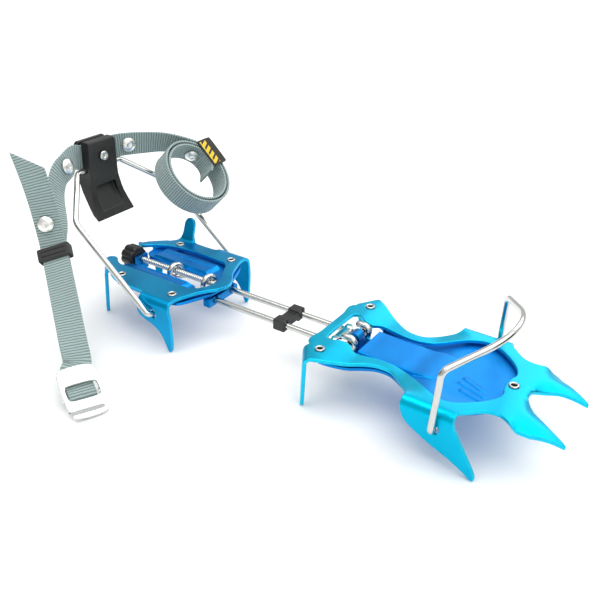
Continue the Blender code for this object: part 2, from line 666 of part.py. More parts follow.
def heel_insert():
    rear = -165.5
    outline = [(-87.4, -9), (-90.6, -18), (-95.4, -30), (-99, -34.4), (-112, -34.8), (-140, -34.4), (-154, -32.6),
               (-162, -26.4), (rear, -20), (rear, -11.0), (-161.5, -9.0), (-160.0, -SLOT_HALF), (-105.0, -SLOT_HALF),
               (-103.0, -10.2), (-97.0, -10.2), (-91.4, -6.0), (-91.4, 6.0), (-94.0, SLOT_HALF), (-160.0, SLOT_HALF),
               (-161.5, 9.0), (rear, 11.0), (rear, 20), (-162, 26.4), (-154, 31.2), (-140, 33.2), (-112, 34.8),
               (-99, 34.4), (-95.4, 30), (-90.6, 18), (-87.4, 9)]
    lines = []
    for low, high in PADS:
        for y in (low - 0.2, low + 1.0, high - 1.0, high + 0.2):
            lines.append([(x, y) for x in (-158, -155, -145, -132, -119, -109, -106)])
        middle = (low + high) / 2 + 1.5
        lines += [[(-155, middle + k), (-109, middle + k)] for k in (-1.4, 0, 1.4)]
    holes = [ring_of((x, side * y), 2.7) for x, y in HEEL_RIVETS for side in (-1, 1)]
    made = sheet("heel_insert", outline, holes, INSERT_SHEET, heel_insert_shape, 10.0, lines)
    return finish(made, "insert_blue", "heel")


def spindle_bearing():
    """The upright lug that the spindle turns in, between the knob and the slot."""
    bm = bmesh.new()
    box(bm, (2.0, 11.0, 11.0), (-160.6, 0, -5.6))
    made = mesh_object("spindle_bearing", bm)
    foot = cutter("bearing_foot", (box, ((3.0, 22.0, 1.6), (-160.3, 0, INSERT_TOP - INSERT_SHEET - 1.2))))
    boolean(made, foot, "UNION")
    boolean(made, cutter("bearing_bore", (rod, ((-166, 0, SPINDLE_Z), (-155, 0, SPINDLE_Z), SPINDLE_RADIUS + GAP))))
    return finish(made, "insert_blue", "heel")


def rod_guide():
    """A folded box under the heel plate's front edge, which the rods slide through."""
    bm = bmesh.new()
    box(bm, (5.8, 30.0, 5.8), (-89.2, 0, -9.2))
    made = mesh_object("rod_guide", bm)
    bevel(made, 0.8, 1)
    grooves = [(box, ((12, WIRE + 0.8, 8.0), (-89.2, side * ROD_Y, ROD_Z + 4.0))) for side in (-1, 1)]
    bores = [(rod, ((-99, side * ROD_Y, ROD_Z), (-79, side * ROD_Y, ROD_Z), WIRE / 2 + 0.4, 16)) for side in (-1, 1)]
    boolean(made, cutter("guide_bores", *bores))
    boolean(made, cutter("guide_grooves", *grooves))
    return finish(made, "insert_blue", "heel")


def spindle_set():
    profile = [(0, 67.0), (1.6, 67.0), (SPINDLE_RADIUS, 66.6), (SPINDLE_RADIUS, 0), (0, 0)]
    spindle = turned("spindle", profile, (-162.0, 0, SPINDLE_Z), (1, 0, 0), 16)
    finish(spindle, "steel", "spindle")
    profile = [(0, 1.6), (2.5, 1.6), (2.8, 1.3), (2.8, 0.3), (2.5, 0), (0, 0)]
    finish(turned("spindle_stop", profile, (-94.7, 0, SPINDLE_Z), (1, 0, 0), 12), "steel", "spindle")
    bm = bmesh.new()
    bmesh.ops.create_cone(bm, cap_ends=True, segments=8, radius1=8.0, radius2=8.0, depth=12.0,
                          matrix=Matrix.Translation((-168.3, 0, SPINDLE_Z)) @ Matrix.Rotation(math.pi / 2, 4, "Y")
                          @ Matrix.Rotation(math.pi / 8, 4, "Z"))
    knob = mesh_object("spindle_knob", bm)
    bevel(knob, 1.2, 2)
    finish(knob, "black_plastic", "spindle")


# ---------------------------------------------------------------- bails

def front_bail():
    x, z = TOE_PIVOT
    half = rounded([(x, -41.3, z), (x, -48.7, z), (87.8, -46.2, 25.7), (118.2, 0, 39.7), (87.8, 46.2, 25.7)],
                   (3.2, 5.3, 46.0), 8)
    middle = next(k for k, p in enumerate(half) if p.y > -1e-6)
    half = half[:middle] + [Vector((half[middle].x, 0, half[middle].z))]
    return finish(wire("front_bail", mirrored(half), FRONT_WIRE), "steel", "front_bail")


def heel_bail():
    x, z = HEEL_PIVOT
    bar_x, bar_z = CROSSBAR
    half = rounded([(x, -39.8, z), (x, -46.4, z), (-169.5, -46.2, 37.6), (bar_x, -19.6, bar_z), (bar_x, 0, bar_z)],
                   (3.4, 12.0, 5.0), 6)
    return finish(wire("heel_bail", mirrored(half), WIRE), "steel", "heel_bail")


# ---------------------------------------------------------------- lever and strap

def lever_loft(name, stations, smooth=40):
    """A closed shell through rectangular stations of (height, front x, rear x, half width)."""
    bm = bmesh.new()
    rings = []
    for height, front, rear, half in stations:
        rings.append([bm.verts.new(p) for p in ((front, -half, height), (front, half, height), (rear, half, height),
                                                (rear, -half, height))])
    for first, second in zip(rings, rings[1:]):
        for k in range(4):
            bm.faces.new((first[k], first[(k + 1) % 4], second[(k + 1) % 4], second[k]))
    bm.faces.new(rings[0][::-1])
    bm.faces.new(rings[-1])
    return mesh_object(name, bm, smooth)


STRAP_X = -197.3  # middle of the webbing where the lever clamps it
STRAP_Z = 67.2


def lever():
    stations = [(25.6, -180.6, -182.0, 17.0), (29.0, -182.6, -186.6, 16.7), (33.0, -184.8, -190.0, 16.0),
                (38.0, -186.9, -194.0, 15.0), (43.0, -188.2, -197.6, 14.2), (48.0, -188.8, -200.2, 13.4),
                (51.0, -188.9, -201.2, 12.8), (54.8, -188.9, -201.0, 12.6), (57.0, -188.8, -195.9, 12.5),
                (76.0, -188.4, -195.9, 12.2), (78.0, -189.4, -195.2, 11.4)]
    made = lever_loft("heel_lever", stations)
    pocket = lever_loft("lever_pocket", [(30.0, -178.0, -183.4, 10.6), (41.0, -180.0, -190.6, 9.6),
                                         (47.5, -180.0, -193.4, 8.8)])
    hide_as_cutter(pocket)
    boolean(made, pocket)
    bar_x, bar_z = CROSSBAR
    bore = (rod, ((bar_x, -20, bar_z), (bar_x, 20, bar_z), WIRE / 2 + GAP, 16))
    slot = (box, ((7.4, 40.0, 2 * (WIRE / 2 + GAP)), (bar_x - 3.7, 0, bar_z)))
    boolean(made, cutter("bar_bore", bore))
    boolean(made, cutter("bar_slot", slot))
    screw_hole = (rod, ((-205, 0, STRAP_Z), (-180, 0, STRAP_Z), 2.3, 12))
    boolean(made, cutter("screw_hole", screw_hole))
    finish(made, "black_plastic", "lever")
    clamp = lever_loft("strap_clamp", [(62.0, -198.8, -201.4, 12.0), (63.4, -198.5, -202.4, 12.6),
                                       (75.4, -198.5, -202.8, 12.4), (77.4, -198.9, -201.6, 11.6)])
    boolean(clamp, cutter("clamp_hole", screw_hole))
    finish(clamp, "black_plastic", "lever")
    profile = [(0, 0.5), (1.0, 0.5), (1.4, 1.5), (2.6, 1.4), (3.3, 0.9), (3.3, 0.3), (1.9, 0.3), (1.9, -15.0),
               (0, -15.0)]
    finish(turned("lever_screw", profile, (-188.3, 0, STRAP_Z), (1, 0, 0), 14), "steel", "lever")


def hide_as_cutter(thing):
    for home in list(thing.users_collection):
        home.objects.unlink(thing)
    CUTTERS.objects.link(thing)
    thing.hide_render = True
    thing.display_type = "WIRE"


def on_buckle(up, out, across=0.0):
    return BUCKLE + BUCKLE_UP * up + BUCKLE_FACE * out + BUCKLE_ACROSS * across


# The doubled webbing from the buckle up to the keeper: middle and direction across, both layers
DOUBLE_FOOT, DOUBLE_HEAD = on_buckle(21.5, -4.4, 4.4), Vector((-169.3, -65.8, 31.0))
HEAD_ACROSS = Vector((0.71, 0.65, 0.28))
DOUBLE = [(DOUBLE_FOOT.lerp(DOUBLE_HEAD, k / 6), BUCKLE_ACROSS.lerp(HEAD_ACROSS, smooth_step(k, 0, 4))) for k in range(7)]


def layer(index, side):
    """A point of one layer of the doubled webbing, and the direction across it."""
    middle, across = DOUBLE[index]
    before, after = DOUBLE[max(index - 1, 0)][0], DOUBLE[min(index + 1, len(DOUBLE) - 1)][0]
    up = (after - before).normalized()
    face = across.cross(up).normalized()
    return middle + face * side * LAYERS / 2, -across


def strap_near():
    """Clamped by the lever, down to the buckle, round its bar, and back up through the keeper to a loose tail."""
    route = [((STRAP_X, -3.4, STRAP_Z), (0, 0, 1)), ((STRAP_X, -12.6, STRAP_Z), (0, 0, 1)),
             ((-195.0, -20.9, 69.5), (-0.06, -0.04, 1)), ((-191.2, -30.2, 67.0), (-0.24, -0.13, 0.96)),
             ((-189.7, -37.8, 63.3), (-0.1, -0.42, 0.9)), ((-186.3, -44.5, 57.0), (0, -0.69, 0.73)),
             ((-181.1, -51.1, 49.4), (-0.08, -0.9, 0.44)), ((-175.5, -57.6, 41.3), (-0.35, -0.93, 0.08))]
    route += [layer(index, -1) for index in range(6, -1, -1)]
    bar_up, bar_out = BUCKLE_BAR
    reach = BAR_RADIUS + GAP + WEB / 2
    for up, out in ((14, bar_out - reach + 0.2), (3, bar_out - reach), (bar_up, bar_out - reach),
                    (bar_up - reach * 0.71, bar_out - reach * 0.71), (bar_up - reach, bar_out),
                    (bar_up - reach * 0.71, bar_out + reach * 0.71), (bar_up, bar_out + reach),
                    (3, bar_out + reach), (14, bar_out + reach - 0.2)):
        route.append((on_buckle(up, out), -BUCKLE_ACROSS))
    route += [layer(index, 1) for index in range(7)]
    route += [((-173.6, -64.7, 46.3), (-0.73, -0.66, -0.15)), ((-176.2, -64.9, 60.7), (-0.72, -0.67, -0.18)),
              ((-180.8, -64.9, 75.4), (-0.71, -0.66, -0.25)), ((-186.8, -64.4, 89.2), (-0.69, -0.66, -0.28))]
    made = ribbon("strap_near", [r[0] for r in route], [Vector(r[1]) for r in route], 3)
    # The tail's free end is cut on the slant.
    tip, across = Vector(route[-1][0]), -Vector(route[-1][1])
    up = (tip - Vector(route[-2][0])).normalized()
    turn = axes((across - across.dot(up) * up).normalized(), up)
    slant = turn @ Matrix.Rotation(math.radians(-42.3), 4, "Z")
    corner = tip + turn @ Vector((8.1, 1.4, 0))
    boolean(made, cutter("tail_cut", (box, ((60, 24, 24), corner, slant))))
    return finish(made, "webbing", "lever")


def coil_place(turn, radius):
    right = Vector((0, 1, 0)) - COIL_AXIS.y * COIL_AXIS
    right.normalize()
    top = COIL_AXIS.cross(right).normalized()
    if top.z < 0:
        top = -top
    return COIL_CENTRE + radius * (math.cos(turn) * top + math.sin(turn) * right)


def coil_radius(turn):
    """Each turn lies a little inside the one before it, and the end leans in off the turn."""
    lean = max(0.0, turn - math.radians(765)) / math.radians(60)
    return COIL_RADIUS - COIL_STEP * (turn - COIL_START) / (2 * math.pi) - 7.0 * lean ** 2


def strap_far():
    """Clamped by the lever, over to the other side, and wound into a coil."""
    route = [((STRAP_X, 3.4, STRAP_Z), (0, 0, 1)), ((STRAP_X, 12.6, STRAP_Z), (0, 0, 1)),
             ((-197.0, 18.2, 67.4), (0, 0, 1)), ((-193.6, 25.4, 67.6), (0.05, 0, 1)),
             ((-187.0, 36.5, 67.2), (0.2, 0, 1)),
             ((-178.6, 49.0, 66.0), (0.45, 0.02, 0.9))]
    count = 34
    for step in range(count + 1):
        turn = COIL_START + (COIL_END - COIL_START) * step / count
        route.append((coil_place(turn, coil_radius(turn)), COIL_AXIS))
    return finish(ribbon("strap_far", [r[0] for r in route], [Vector(r[1]) for r in route], 2), "webbing", "lever")


def keeper_frame():
    up = (DOUBLE_HEAD - DOUBLE_FOOT).normalized()
    across = (HEAD_ACROSS - HEAD_ACROSS.dot(up) * up).normalized()
    return DOUBLE_FOOT.lerp(DOUBLE_HEAD, 0.91), across, up


def strap_keeper():
    """A rubber loop round both layers, ribbed along one side."""
    middle, across, up = keeper_frame()
    turn = axes(across, up)
    bm = bmesh.new()
    box(bm, (WEB_WIDTH + 4.2, 9.0, LAYERS + WEB + 3.8), middle, turn)
    made = mesh_object("strap_keeper", bm)
    bevel(made, 0.9, 1)
    opening = (box, ((WEB_WIDTH + 2.0, 20.0, LAYERS + WEB + 1.9), middle, turn))
    boolean(made, cutter("keeper_opening", opening))
    return finish(made, "black_rubber", "keeper")


def g_hook_buckle():
    """A plate with a window for the webbing's fold, a bar behind it, and a hooked slot at the foot."""
    width, length, thick = BUCKLE_SIZE
    turn = axes(BUCKLE_ACROSS, BUCKLE_UP)
    bm = bmesh.new()
    box(bm, (width, length, thick), BUCKLE, turn)
    made = mesh_object("g_hook_buckle", bm)
    bevel(made, 0.7, 2)
    window = (box, ((19.2, 10.4, 10.0), on_buckle(0.0, 0), turn))
    hook_slot = (box, ((21.6, 2.0, 10.0), on_buckle(-12.6, 0, -2.4), turn))
    boolean(made, cutter("buckle_window", window))
    boolean(made, cutter("buckle_slot", hook_slot))
    bar_up, bar_out = BUCKLE_BAR
    ends = [on_buckle(bar_up, bar_out, side * 11.4) for side in (-1, 1)]
    boolean(made, cutter("buckle_bar", (rod, (*ends, BAR_RADIUS, 12))), "UNION")
    for side in (-1, 1):
        cheek = (box, ((1.8, 3.6, -bar_out + BAR_RADIUS), on_buckle(bar_up, bar_out / 2 - 0.5, side * 10.9), turn))
        boolean(made, cutter("buckle_cheek_%s" % ("left" if side > 0 else "right"), cheek), "UNION")
    return finish(made, "steel", "buckle")


def snap(name, place, out, lift=0.6):
    """A domed snap stud that stands on the webbing's face."""
    profile = [(0, 1.9), (1.9, 1.8), (3.7, 1.25), (4.9, 0.5), (5.0, 0.1), (4.7, 0), (0, 0)]
    out = Vector(out).normalized()
    place = Vector(place) + out * (WEB / 2 + lift)
    return finish(turned(name, profile, place, out, 16), "steel", "lever")


def snaps():
    snap("snap_lever_right", (-191.2, -30.2, 67.0), (0.935, 0.161, 0.256), 0.9)
    snap("snap_lever_left", (-192.4, 27.4, 67.4), (0.87, -0.49, 0.0))
    snap("snap_tail", (-173.3, -65.6, 43.4), (0.60, -0.75, 0.27), 1.2)
    place = coil_place(math.radians(762), coil_radius(math.radians(762)))
    snap("snap_coil", place, COIL_CENTRE - place, 1.5)


def label_tag():
    """A folded woven tag sewn to the webbing's edge, lying over the coil's rim."""
    thick = 1.2
    along = Vector((0.742, 0.03, -0.671))
    along = (along - along.dot(COIL_AXIS) * COIL_AXIS).normalized()
    lift = WEB_WIDTH / 2 + GAP + thick / 2
    middle = COIL_CENTRE + COIL_AXIS * lift + COIL_AXIS.cross(along) * 23.6 - along * 8.2
    bm = bmesh.new()
    box(bm, (22.0, 14.5, thick), middle, axes(along, COIL_AXIS.cross(along)))
    return finish(mesh_object("label_tag", bm), "label", "lever")


# ---------------------------------------------------------------- assembly

clear_scene()
PARTS = collection("crampon")
CUTTERS = collection("cutters", hidden=True)
_, _, KEEPER_UP = keeper_frame()
BODIES = {
    "link": body_empty("link_axis", (PIN_X, 0, PIN_Z)),
    "slider": body_empty("slider_axis", (SLIDER_X, 0, ROD_Z)),
    "heel": body_empty("heel_axis", (-120.0, 0, ROD_Z)),
    "spindle": body_empty("spindle_axis", (-120.0, 0, SPINDLE_Z)),
    "front_bail": body_empty("front_bail_axis", (TOE_PIVOT[0], 0, TOE_PIVOT[1])),
    "heel_bail": body_empty("heel_bail_axis", (HEEL_PIVOT[0], 0, HEEL_PIVOT[1])),
    "lever": body_empty("lever_axis", (CROSSBAR[0], 0, CROSSBAR[1])),
    "keeper": body_empty("keeper_axis", keeper_frame()[0]),
    "buckle": body_empty("buckle_axis", on_buckle(*BUCKLE_BAR)),
}

toe_plate()
toe_insert()
rivet("toe_rivet_front", 112, 0, None)
rivet("toe_rivet_left", 7.6, 29.9, None)
rivet("toe_rivet_right", 7.6, -29.9, None)
hinge_bracket()
hinge_pin()
link_rods()
rod_saddle()
rod_slider()
heel_plate()
heel_insert()
for place, (rivet_x, rivet_y) in zip(("rear", "front"), HEEL_RIVETS):
    rivet("heel_rivet_%s_left" % place, rivet_x, rivet_y, "heel")
    rivet("heel_rivet_%s_right" % place, rivet_x, -rivet_y, "heel")
spindle_bearing()
rod_guide()
spindle_set()
front_bail()
heel_bail()
lever()
strap_near()
strap_far()
strap_keeper()
g_hook_buckle()
snaps()
label_tag()
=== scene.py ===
"""Looks of a ten-point step-in crampon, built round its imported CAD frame.

The frame is +X towards the toe, +Y to the wearer's left, +Z up, with the origin on the sole face of the toe plate's
rear cross-member. Shapes are worked out in millimetres and made in metres. Every piece rides on the CAD body whose
node it stands for.
"""

import math

import bmesh
import bpy
import numpy as np
from mathutils import Matrix, Vector
from mathutils.geometry import delaunay_2d_cdt


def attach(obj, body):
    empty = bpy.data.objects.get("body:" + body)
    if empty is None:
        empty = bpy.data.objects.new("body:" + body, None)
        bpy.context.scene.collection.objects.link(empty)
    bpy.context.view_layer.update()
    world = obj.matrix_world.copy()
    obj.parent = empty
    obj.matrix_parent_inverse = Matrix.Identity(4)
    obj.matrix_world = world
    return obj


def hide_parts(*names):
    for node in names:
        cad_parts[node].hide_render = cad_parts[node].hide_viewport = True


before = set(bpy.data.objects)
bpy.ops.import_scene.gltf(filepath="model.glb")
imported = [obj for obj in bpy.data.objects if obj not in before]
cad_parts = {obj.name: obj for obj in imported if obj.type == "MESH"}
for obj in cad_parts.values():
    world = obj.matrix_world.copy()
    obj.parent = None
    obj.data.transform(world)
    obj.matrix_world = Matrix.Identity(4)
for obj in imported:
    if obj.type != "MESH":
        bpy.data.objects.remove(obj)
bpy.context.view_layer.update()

MM = 0.001
GAP = 0.3

GROUND = -36.5
SHEET = 2.4
INSERT_SHEET = 2.0
DIP = 3.0
INSERT_TOP = -3.6
INSERT_MID = INSERT_TOP - INSERT_SHEET / 2

TOE_BEND_Y = 39.5
TOE_BEND_RADIUS = 4.5
TOE_BEND_ANGLE = math.radians(94)
TOE_PIVOT = (86.6, -11.9)

HEEL_BEND_Y = 38.3
HEEL_BEND_RADIUS = 4.0
HEEL_BEND_ANGLE = math.radians(93)
HEEL_PIVOT = (-110.8, -10.8)
PIVOT_HOLE_RADIUS = 3.1
RIVET_HOLE_RADIUS = 2.75

WIRE = 4.0
FRONT_WIRE = 3.8
ROD_Y = 8.7
ROD_Z = -8.2
PIN_RADIUS = 1.5
PIN_X = 14.8
EYE_RADIUS = PIN_RADIUS + GAP + WIRE / 2
PIN_Z = ROD_Z + EYE_RADIUS
SPINDLE_RADIUS = 2.0
SPINDLE_Z = -3.0
HOOK_RADIUS = SPINDLE_RADIUS + WIRE / 2 + 0.4
SLIDER_X = -33.9

CROSSBAR = (-193.9, 58.3)
WEB_WIDTH = 16.5
WEB = 1.5
LAYERS = 1.9
RIB_PITCH = 1.7
COIL_CENTRE = Vector((-151.8, 47.7, 46.3))
COIL_AXIS = Vector((0.69, 0.03, 0.72)).normalized()
COIL_RADIUS = 27.0
COIL_START, COIL_END = math.radians(30), math.radians(828)
COIL_STEP = 2.7

BUCKLE = Vector((-101.5, -112.3, -26.6))
BUCKLE_ACROSS = Vector((0.39, 0.92, -0.05)).normalized()
BUCKLE_UP = Vector((-0.79, 0.36, 0.49))
BUCKLE_UP = (BUCKLE_UP - BUCKLE_UP.dot(BUCKLE_ACROSS) * BUCKLE_ACROSS).normalized()
BUCKLE_FACE = BUCKLE_ACROSS.cross(BUCKLE_UP)
BUCKLE_SIZE = (24.4, 34.0, 2.0)
BUCKLE_BAR = (-0.5, -4.9)
BAR_RADIUS = 1.25


# ---------------------------------------------------------------- camera, floor and light

CAMERA_TURN = (32.85, 29.26, 1.44)
CAMERA_PLACE = (0.195, -0.3423, 0.2357)
FLOOR_HALF = 4.0
PAPER = (0.93, 0.935, 0.935)
DARK_CARD = (0.03, 0.03, 0.035)


def make_camera():
    yaw, pitch, roll = (math.radians(a) for a in CAMERA_TURN)
    forward = Vector((-math.sin(yaw) * math.cos(pitch), math.cos(yaw) * math.cos(pitch), -math.sin(pitch)))
    level = Vector((math.cos(yaw), math.sin(yaw), 0))
    upright = level.cross(forward)
    right = math.cos(roll) * level + math.sin(roll) * upright
    up = -math.sin(roll) * level + math.cos(roll) * upright
    data = bpy.data.cameras.new("camera")
    data.lens, data.sensor_width, data.clip_start = 45.33, 36, 0.01
    camera = bpy.data.objects.new("camera", data)
    turn = Matrix((right, up, -forward)).transposed().to_4x4()
    camera.matrix_world = Matrix.Translation(CAMERA_PLACE) @ turn
    bpy.context.scene.collection.objects.link(camera)
    bpy.context.scene.camera = camera


def soft_light(name, place, aim, size, power):
    data = bpy.data.lights.new(name, "AREA")
    data.shape, data.size, data.size_y = "RECTANGLE", *size
    data.energy = power
    lamp = bpy.data.objects.new(name, data)
    lamp.location = place
    lamp.rotation_euler = (Vector(aim) - Vector(place)).to_track_quat("-Z", "Y").to_euler()
    bpy.context.scene.collection.objects.link(lamp)


def studio_card(name, half_size, place, turn, look, cells):
    """A flat card that only sets the scene: the floor, or a board for the metal to mirror."""
    bm = bmesh.new()
    bmesh.ops.create_grid(bm, x_segments=cells, y_segments=cells, size=half_size)
    mesh = bpy.data.meshes.new(name)
    bm.to_mesh(mesh)
    bm.free()
    card = bpy.data.objects.new(name, mesh)
    card.location, card.rotation_euler = place, turn
    bpy.context.scene.collection.objects.link(card)
    card.data.materials.append(look)


def make_studio():
    studio_card("floor", FLOOR_HALF, (0, 0, GROUND * MM - 0.0002), (0, 0, 0), plain("floor_paper", PAPER, 0.75), 8)
    # Dark boards out of the picture give the bright metal something to mirror.
    for name, place, tilt, turn, half_size in (("board_left", (-0.75, -0.35, 0.25), 80, 25, 0.28),
                                               ("board_right", (0.75, 0.25, 0.15), -80, 20, 0.25)):
        studio_card(name, half_size, place, (0, math.radians(tilt), math.radians(turn)),
                    plain(name + "_card", DARK_CARD, 0.8), 2)
    world = bpy.data.worlds.new("studio")
    world.use_nodes = True
    world.node_tree.nodes["Background"].inputs["Color"].default_value = (0.99, 1.0, 0.985, 1)
    world.node_tree.nodes["Background"].inputs["Strength"].default_value = 0.70
    bpy.context.scene.world = world
    sky = bpy.data.lights.new("sky", "SUN")
    sky.energy, sky.angle, sky.color = 1.75, math.radians(75), (1.0, 0.997, 0.985)
    lamp = bpy.data.objects.new("sky", sky)
    lamp.rotation_euler = Vector((0.35, 0.15, 1.0)).to_track_quat("Z", "Y").to_euler()
    bpy.context.scene.collection.objects.link(lamp)
    soft_light("key", (-0.35, -0.25, 1.0), (-0.03, 0, 0), (0.7, 0.5), 2.6)
    soft_light("fill", (0.75, -0.65, 0.7), (0, 0, 0), (0.8, 0.6), 1.5)
    soft_light("rim", (0.1, 0.9, 0.55), (-0.02, 0, 0), (0.9, 0.35), 2.0)
    bpy.context.scene.view_settings.view_transform = "Standard"


# ---------------------------------------------------------------- materials

class Nodes:
    """A material's node tree, with short calls for the nodes used here."""

    def __init__(self, name):
        self.material = bpy.data.materials.new(name)
        self.material.use_nodes = True
        self.tree = self.material.node_tree
        self.shader = self.tree.nodes["Principled BSDF"]
        self.place = self.node("ShaderNodeTexCoord").outputs["Object"]

    def node(self, kind, **settings):
        made = self.tree.nodes.new(kind)
        for key, value in settings.items():
            setattr(made, key, value)
        return made

    def put(self, socket, value):
        if isinstance(value, bpy.types.NodeSocket):
            self.tree.links.new(value, socket)
        else:
            socket.default_value = value

    def math(self, operation, first, second=0.5, clamp=False):
        made = self.node("ShaderNodeMath", operation=operation, use_clamp=clamp)
        self.put(made.inputs[0], first)
        self.put(made.inputs[1], second)
        return made.outputs[0]

    def mix(self, share, first, second):
        made = self.node("ShaderNodeMix", data_type="RGBA")
        self.put(made.inputs["Factor"], share)
        self.put(made.inputs["A"], (*first, 1) if isinstance(first, tuple) else first)
        self.put(made.inputs["B"], (*second, 1) if isinstance(second, tuple) else second)
        return made.outputs["Result"]

    def spread(self, value, low, high, to_low=0.0, to_high=1.0):
        made = self.node("ShaderNodeMapRange")
        for socket, given in zip(made.inputs, (value, low, high, to_low, to_high)):
            self.put(socket, given)
        return made.outputs[0]

    def noise(self, per_metre, detail=3.0, roughness=0.55, stretch=(1, 1, 1), coordinates=None):
        mapping = self.node("ShaderNodeMapping")
        self.put(mapping.inputs["Vector"], coordinates or self.place)
        mapping.inputs["Scale"].default_value = stretch
        made = self.node("ShaderNodeTexNoise")
        self.put(made.inputs["Vector"], mapping.outputs[0])
        made.inputs["Scale"].default_value = per_metre
        made.inputs["Detail"].default_value = detail
        made.inputs["Roughness"].default_value = roughness
        return made.outputs["Fac"]

    def cells(self, per_metre, feature="F1"):
        made = self.node("ShaderNodeTexVoronoi", feature=feature)
        self.put(made.inputs["Vector"], self.place)
        made.inputs["Scale"].default_value = per_metre
        return made.outputs["Distance"]

    def attribute(self, name):
        return self.node("ShaderNodeAttribute", attribute_name=name).outputs["Fac"]

    def split(self, name):
        found = self.node("ShaderNodeAttribute", attribute_name=name).outputs["Vector"]
        made = self.node("ShaderNodeSeparateXYZ")
        self.put(made.inputs[0], found)
        return made.outputs

    def bump(self, height, distance, strength=1.0):
        made = self.node("ShaderNodeBump")
        made.inputs["Distance"].default_value = distance
        made.inputs["Strength"].default_value = strength
        self.put(made.inputs["Height"], height)
        self.put(self.shader.inputs["Normal"], made.outputs[0])

    def set(self, **values):
        for key, value in values.items():
            self.put(self.shader.inputs[key.replace("_", " ")], value)


def plain(name, colour, roughness):
    """A painted surface with a slight unevenness."""
    look = Nodes(name)
    patchy = look.noise(6, 2)
    darker = tuple(c * 0.985 for c in colour)
    look.set(Base_Color=look.mix(patchy, darker, colour), Roughness=roughness)
    look.bump(look.noise(900, 2), 0.0002, 0.1)
    return look.material


def anodised(name, colour, shade, edge, roughness=0.34):
    """Anodised sheet: a fine blasted grain, slight cloudiness, and rims tinted in patches towards the edge colour:
    partly wear, partly painted light (a painted edge highlight where that colour is lighter, painted shade where it is
    darker).
    """
    look = Nodes(name)
    cloud = look.noise(38, 4, 0.6)
    fine = look.noise(5200, 2, 0.5)
    base = look.mix(look.spread(cloud, 0.3, 0.72), shade, colour)
    # Rims tinted towards the edge colour in patches: partly wear, partly a painted edge highlight, or painted shade
    # where the edge colour is darker.
    edge_wear_and_painted_light = look.spread(look.noise(420, 4, 0.7), 0.42, 0.62)
    rim = look.math("MULTIPLY", look.attribute("rim"), look.spread(edge_wear_and_painted_light, 0, 1, 0.45, 1.0))
    base = look.mix(look.math("MULTIPLY", rim, 0.6), base, edge)
    scratch = look.spread(look.noise(240, 6, 0.75, (1, 7, 2)), 0.66, 0.74)
    base = look.mix(look.math("MULTIPLY", scratch, 0.22), base, edge)
    rough = look.spread(cloud, 0.25, 0.75, roughness - 0.05, roughness + 0.07)
    rough = look.math("ADD", rough, look.spread(fine, 0, 1, -0.03, 0.03))
    look.set(Base_Color=base, Metallic=0.95, Roughness=rough)
    height = look.math("ADD", fine, look.math("MULTIPLY", look.noise(1500, 3, 0.6), 0.7))
    look.bump(height, 0.00004, 0.35)
    return look.material


def bright_steel(name, tint=(0.60, 0.605, 0.59), roughness=0.13, drawn=(1, 1, 1), grain=0.25):
    """Polished stainless steel with a trace of its drawing lines and handling marks."""
    look = Nodes(name)
    lines = look.noise(900, 3, 0.6, drawn)
    marks = look.spread(look.noise(180, 5, 0.7), 0.52, 0.72)
    base = look.mix(marks, tint, tuple(c * 0.86 for c in tint))
    rough = look.math("ADD", look.spread(marks, 0, 1, roughness, roughness + 0.12),
                      look.spread(lines, 0.3, 0.7, -0.03, 0.03))
    look.set(Base_Color=base, Metallic=1.0, Roughness=rough)
    look.bump(look.math("ADD", lines, look.math("MULTIPLY", look.noise(3600, 2), 0.3)), 0.00004, grain)
    return look.material


def moulded(name, colour=(0.008, 0.008, 0.0085), roughness=0.38, texture=2600, grain=0.35, scuff=(0.07, 0.07, 0.072)):
    """Moulded plastic or rubber: a pebbled grain, paler where it has rubbed."""
    look = Nodes(name)
    pebble = look.cells(texture)
    scuffed = look.spread(look.noise(160, 6, 0.75), 0.6, 0.8, 0.0, 0.5)
    base = look.mix(scuffed, colour, scuff)
    rough = look.spread(look.noise(90, 4, 0.6), 0.3, 0.7, roughness - 0.06, roughness + 0.1)
    look.set(Base_Color=base, Roughness=rough)
    look.bump(look.math("ADD", pebble, look.math("MULTIPLY", look.noise(4200, 2), 0.5)), 0.00006, grain)
    return look.material


def webbing(name, pale=(0.46, 0.585, 0.565), groove_painted_shade=(0.13, 0.185, 0.19)):
    """Woven tape: crosswise ribs of fine yarns, with painted shade in the grooves between them and the rib tops soiled
    in patches.
    """
    look = Nodes(name)
    across, along, _ = look.split("weave")
    waver = look.math("MULTIPLY", look.math("SUBTRACT", look.noise(260, 3), 0.5), 0.9)
    phase = look.math("MULTIPLY", look.math("ADD", along, waver), 2 * math.pi / RIB_PITCH)
    rib = look.spread(look.math("COSINE", phase, 0), -0.95, 0.35)
    yarn = look.math("SINE", look.math("MULTIPLY", across, 2 * math.pi / 0.62), 0)
    twist = look.math("SINE", look.math("ADD", look.math("MULTIPLY", along, 2 * math.pi / 0.8),
                                        look.math("MULTIPLY", across, 2 * math.pi / 0.62)), 0)
    fuzz = look.noise(6500, 3, 0.65)
    blotch = look.spread(look.noise(55, 4, 0.6), 0.3, 0.7)
    threads = look.spread(look.math("ADD", yarn, twist), -1.8, 1.8)
    top = look.mix(blotch, tuple(c * 0.86 for c in pale), pale)
    top = look.mix(look.math("MULTIPLY", threads, 0.55), tuple(c * 0.72 for c in pale), top)
    # The grooves between the ribs take the darker colour: painted shade.
    share = look.math("MULTIPLY", rib, look.spread(fuzz, 0.2, 0.8, 0.72, 1.0))
    look.set(Base_Color=look.mix(share, groove_painted_shade, top), Roughness=look.spread(fuzz, 0.2, 0.8, 0.78, 0.95))
    look.shader.inputs["Sheen Weight"].default_value = 0.25
    look.shader.inputs["Sheen Roughness"].default_value = 0.5
    height = look.math("ADD", look.math("MULTIPLY", threads, 0.8), look.math("MULTIPLY", fuzz, 0.7))
    look.bump(look.math("ADD", height, rib), 0.00016, 0.6)
    return look.material


